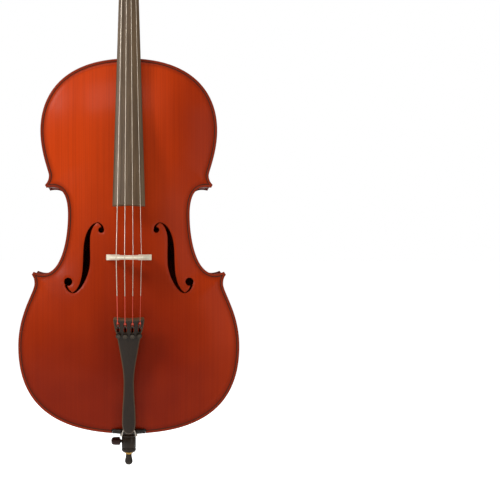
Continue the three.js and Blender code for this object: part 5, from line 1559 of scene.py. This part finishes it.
def make_endpin():
    """Turned plug with beads and a groove, brass collar, steel rod, ribbed rubber tip and a fluted thumb screw."""
    r = PLUG_RADIUS
    plug = softened([
        (7.2, 0), (12.4, 0), (13.6, 1.2), (14.4, 3), (r, 5), (r, 7.6), (14.2, 8.0), (14.2, 8.8), (r, 9.2),
        (r, 30.2), (14.2, 30.6), (14.2, 31.4), (r, 31.8), (r, 34.4), (13.1, 35.6), (13.0, 38), (13.1, 40.2),
        (13.7, 41), (14.0, 45), (13.75, 48.4), (12, 48.5), (11, 86), (7.2, 86.2)], 0.3)
    turn = Matrix.Translation((0, 0, PLUG_LOW))
    make_piece("endpin_plug", *placed(turn, turned(plug, 72)), ["black_fitting"], replaces=["endpin_plug"],
               slot="black_fitting", crease=35)
    collar = softened([(5.35, 0), (6.2, 0), (6.75, 0.6), (6.75, 1.5), (6.45, 1.8), (6.75, 2.1), (6.75, 4.8),
                       (6.7, 30), (5.35, 30)], 0.15)
    flange = softened([(5.5, 2.8), (9.2, 2.8), (10.2, 3.4), (10.2, 4.2), (9.6, 4.72), (5.5, 4.72)], 0.2)
    turn = Matrix.Translation((0, 0, BUSHING_LOW))
    make_piece("endpin_bushing", *placed(turn, joined(turned(collar, 56), turned(flange, 56))), ["brass"],
               replaces=["endpin_bushing"], slot="brass", crease=35)
    rod = [(0.1, 0), (4.4, 0), (5.0, 0.7), (5.0, 60), (4.8, 60.5), (4.8, 61.5), (5.0, 62), (5.0, 478.8),
           (4.3, 479.9), (0.1, 480)]
    turn = Matrix.Translation((0, 0, ROD_LOW))
    make_piece("endpin_rod", *placed(turn, turned(rod, 40)), ["steel"], body="endpin",
               replaces=["endpin_rod"], slot="steel", crease=35)
    tip = [(0.1, 0), (3.0, 0.1), (4.9, 1.0), (6.4, 2.6), (7.5, 4.6), (8.2, 6.6), (8.2, 8.2), (7.6, 8.7), (7.6, 9.3),
           (8.0, 9.8), (7.7, 11.4), (7.0, 12.0), (7.0, 12.6), (7.2, 13.1), (6.6, 15.6), (6.1, 18.6), (6.3, 19.6),
           (6.3, 20.9), (5.8, 21.5), (5.2, 21.5), (5.1, 20), (0.1, 20)]
    make_piece("endpin_tip", *turned(softened(tip, 0.25), 48), ["rubber"], body="endpin", replaces=["endpin_tip"],
               slot="rubber", crease=40)
    start = PLUG_RADIUS + 3

    def flutes(angle, radius, height):
        return -0.75 * abs(math.sin(angle * 5)) ** 3 if start + 1 < height < start + 14.5 and radius > 5 else 0

    knob = [(0.1, 5.4), (2.6, 5.4), (3.0, 5.9)] + [(r, start + h) for r, h in (
        (3.0, -1.4), (4.6, -1), (5.0, -0.2), (7.0, 0), (8.0, 0.8), (8.4, 2.2), (8.4, 5), (8.4, 9), (8.2, 13),
        (7.4, 15.4), (6.4, 16.8), (5.0, 17.8), (2.4, 18.4), (0.1, 18.5))]
    turn = Matrix.Translation((0, 0, THUMB_SCREW_Z)) @ Matrix.Rotation(-math.pi / 2, 4, "Y")
    make_piece("thumb_screw", *placed(turn, turned(knob, 80, flutes)), ["dark_knob"], body="thumb_screw",
               replaces=["thumb_screw"], slot="dark_knob", crease=45)


def dress_inside():
    """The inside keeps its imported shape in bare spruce. The axle gets steel, and the corner blocks get varnish."""
    for name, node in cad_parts.items():
        if node.hide_render:
            continue
        chosen = "steel" if name == "tuner_axle" else "bare_spruce"
        if name.startswith("corner_block"):
            chosen = "block_varnish"
        node.data.materials.clear()
        node.data.materials.append(finish(chosen))


# ------------------------------------------------------------------ stage


def make_stage():
    """Pale floor, soft lights and the camera."""
    f = Finish("pale_floor")
    cloud = f.noise(f.place((1.5, 1.5, 1.5)), detail=2)
    tone = f.mix(cloud, (0.93, 0.93, 0.93), (0.96, 0.96, 0.96))
    lit = f.math("MULTIPLY", f.add("ShaderNodeLightPath").outputs["Is Camera Ray"], 0.82)
    f.surface(Base_Color=tone, Roughness=0.9, Specular_IOR_Level=0.0, Emission_Color=(1, 1, 1), Emission_Strength=lit)
    depth = -392.0  # clear of the endpin drawn right out
    sides = 64
    points, faces = [(0, 0, depth)], []
    for ring, radius in enumerate((400, 1500, 5000, 20000, 90000)):
        for k in range(sides):
            angle = 2 * math.pi * k / sides
            points.append((radius * math.cos(angle), radius * math.sin(angle), depth))
            here, after = 1 + ring * sides + k, 1 + ring * sides + (k + 1) % sides
            faces.append((0, here, after) if ring == 0 else (here - sides, here, after, after - sides))
    mesh = bpy.data.meshes.new("floor")
    mesh.from_pydata([Vector(p) * MM for p in points], [], faces)
    mesh.materials.append(f.material)
    floor = add_object("floor", mesh)

    world = bpy.data.worlds.new("studio")
    world.use_nodes = True
    tree = world.node_tree
    surround = tree.nodes["Background"]
    seen = tree.nodes.new("ShaderNodeBackground")
    for background, strength in ((surround, 0.22), (seen, 1.0)):
        background.inputs["Color"].default_value = (1, 1, 1, 1)
        background.inputs["Strength"].default_value = strength
    which = tree.nodes.new("ShaderNodeMixShader")
    path = tree.nodes.new("ShaderNodeLightPath")
    tree.links.new(path.outputs["Is Camera Ray"], which.inputs[0])
    tree.links.new(surround.outputs[0], which.inputs[1])
    tree.links.new(seen.outputs[0], which.inputs[2])
    tree.links.new(which.outputs[0], tree.nodes["World Output"].inputs["Surface"])
    bpy.context.scene.world = world

    target = Vector((0, 0, 0.5))
    for name, place, size, power in (
            ("key", (-3.0, -3.0, 2.7), 1.3, 100),
            ("fill", (3.2, -3.0, 1.0), 2.4, 26),
            ("front", (-0.45, -3.6, 2.5), 1.3, 26),
            ("back_left", (-2.6, 3.2, 2.2), 1.8, 75),
            ("back_right", (2.8, 3.4, 1.4), 2.2, 36),
            ("over", (0, 0, 4.2), 3.5, 60)):
        light = bpy.data.lights.new(name, "AREA")
        light.size = size
        light.energy = power
        lamp = add_object(name, light)
        lamp.location = place
        lamp.rotation_euler = (target - Vector(place)).to_track_quat("-Z", "Y").to_euler()

    view = bpy.data.cameras.new("camera")
    view.lens = 91.9
    view.sensor_width = 36.0
    view.shift_x = 0.2424
    view.clip_end = 200
    camera = add_object("camera", view)
    camera.location = (0, -2.63, 0.442)
    camera.rotation_euler = (math.pi / 2, 0, 0)
    bpy.context.scene.camera = camera
    bpy.context.scene.view_settings.view_transform = "Standard"


# ------------------------------------------------------------------ the add-on


class CELLO_OT_piece:
    """Shared behaviour: each operator makes its own pieces and then says so."""

    bl_options = {"REGISTER", "UNDO"}

    def execute(self, context):
        self.make()
        return {"FINISHED"}


class CELLO_OT_plates(CELLO_OT_piece, bpy.types.Operator):
    """Carve the top with its f-holes and the two-piece back with its button"""

    bl_idname = "cello.plates"
    bl_label = "Top and back"

    def make(self):
        make_top()
        make_back()


class CELLO_OT_ribs(CELLO_OT_piece, bpy.types.Operator):
    """Bend the six ribs"""

    bl_idname = "cello.ribs"
    bl_label = "Ribs"

    def make(self):
        make_ribs()


class CELLO_OT_neck(CELLO_OT_piece, bpy.types.Operator):
    """Carve the neck, heel, pegbox and scroll"""

    bl_idname = "cello.neck"
    bl_label = "Neck and scroll"

    def make(self):
        make_neck()


class CELLO_OT_fingerboard(CELLO_OT_piece, bpy.types.Operator):
    """Shape the fingerboard and the nut"""

    bl_idname = "cello.fingerboard"
    bl_label = "Fingerboard and nut"

    def make(self):
        make_fingerboard()
        make_nut()


class CELLO_OT_pegs(CELLO_OT_piece, bpy.types.Operator):
    """Turn the four pegs and wind the strings on them"""

    bl_idname = "cello.pegs"
    bl_label = "Pegs"

    def make(self):
        make_pegs()


class CELLO_OT_bridge(CELLO_OT_piece, bpy.types.Operator):
    """Carve the bridge"""

    bl_idname = "cello.bridge"
    bl_label = "Bridge"

    def make(self):
        make_bridge()


class CELLO_OT_strings(CELLO_OT_piece, bpy.types.Operator):
    """Stretch the four strings"""

    bl_idname = "cello.strings"
    bl_label = "Strings"

    def make(self):
        make_strings()


class CELLO_OT_tailpiece(CELLO_OT_piece, bpy.types.Operator):
    """Make the tailpiece, its fine tuners, the saddle and the tailgut"""

    bl_idname = "cello.tailpiece"
    bl_label = "Tailpiece and tuners"

    def make(self):
        make_tailpiece()
        make_tuners()
        make_saddle()
        make_tailgut()


class CELLO_OT_endpin(CELLO_OT_piece, bpy.types.Operator):
    """Turn the plug, collar, rod, rubber tip and thumb screw"""

    bl_idname = "cello.endpin"
    bl_label = "Endpin"

    def make(self):
        make_endpin()


class CELLO_OT_inside(CELLO_OT_piece, bpy.types.Operator):
    """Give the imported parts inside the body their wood"""

    bl_idname = "cello.inside"
    bl_label = "Inside"

    def make(self):
        dress_inside()


class CELLO_OT_stage(CELLO_OT_piece, bpy.types.Operator):
    """Lay the floor and set the lights and camera"""

    bl_idname = "cello.stage"
    bl_label = "Stage"

    def make(self):
        make_stage()


OPERATORS = (CELLO_OT_stage, CELLO_OT_plates, CELLO_OT_ribs, CELLO_OT_neck, CELLO_OT_fingerboard, CELLO_OT_pegs,
             CELLO_OT_bridge, CELLO_OT_strings, CELLO_OT_tailpiece, CELLO_OT_endpin, CELLO_OT_inside)


class CELLO_PT_panel(bpy.types.Panel):
    """Sizes, colours and one button for each step"""

    bl_idname = "CELLO_PT_panel"
    bl_label = "Cello"
    bl_space_type = "VIEW_3D"
    bl_region_type = "UI"
    bl_category = "Cello"

    def draw(self, context):
        for title, group in (("Sizes", context.scene.cello_sizes), ("Colours", context.scene.cello_colours)):
            box = self.layout.box()
            box.label(text=title)
            for key in group.bl_rna.properties.keys():
                if key not in ("rna_type", "name"):
                    box.prop(group, key)
        column = self.layout.column(align=True)
        for operator in OPERATORS:
            column.operator(operator.bl_idname)


CLASSES = (CelloSizes, CelloColours, *OPERATORS, CELLO_PT_panel)


def register():
    for each in CLASSES:
        bpy.utils.register_class(each)
    bpy.types.Scene.cello_sizes = PointerProperty(type=CelloSizes)
    bpy.types.Scene.cello_colours = PointerProperty(type=CelloColours)


def unregister():
    del bpy.types.Scene.cello_colours
    del bpy.types.Scene.cello_sizes
    for each in reversed(CLASSES):
        bpy.utils.unregister_class(each)


def main():
    register()
    for operator in OPERATORS:
        getattr(bpy.ops.cello, operator.bl_idname.split(".")[1])()


if __name__ == "__main__":
    main()
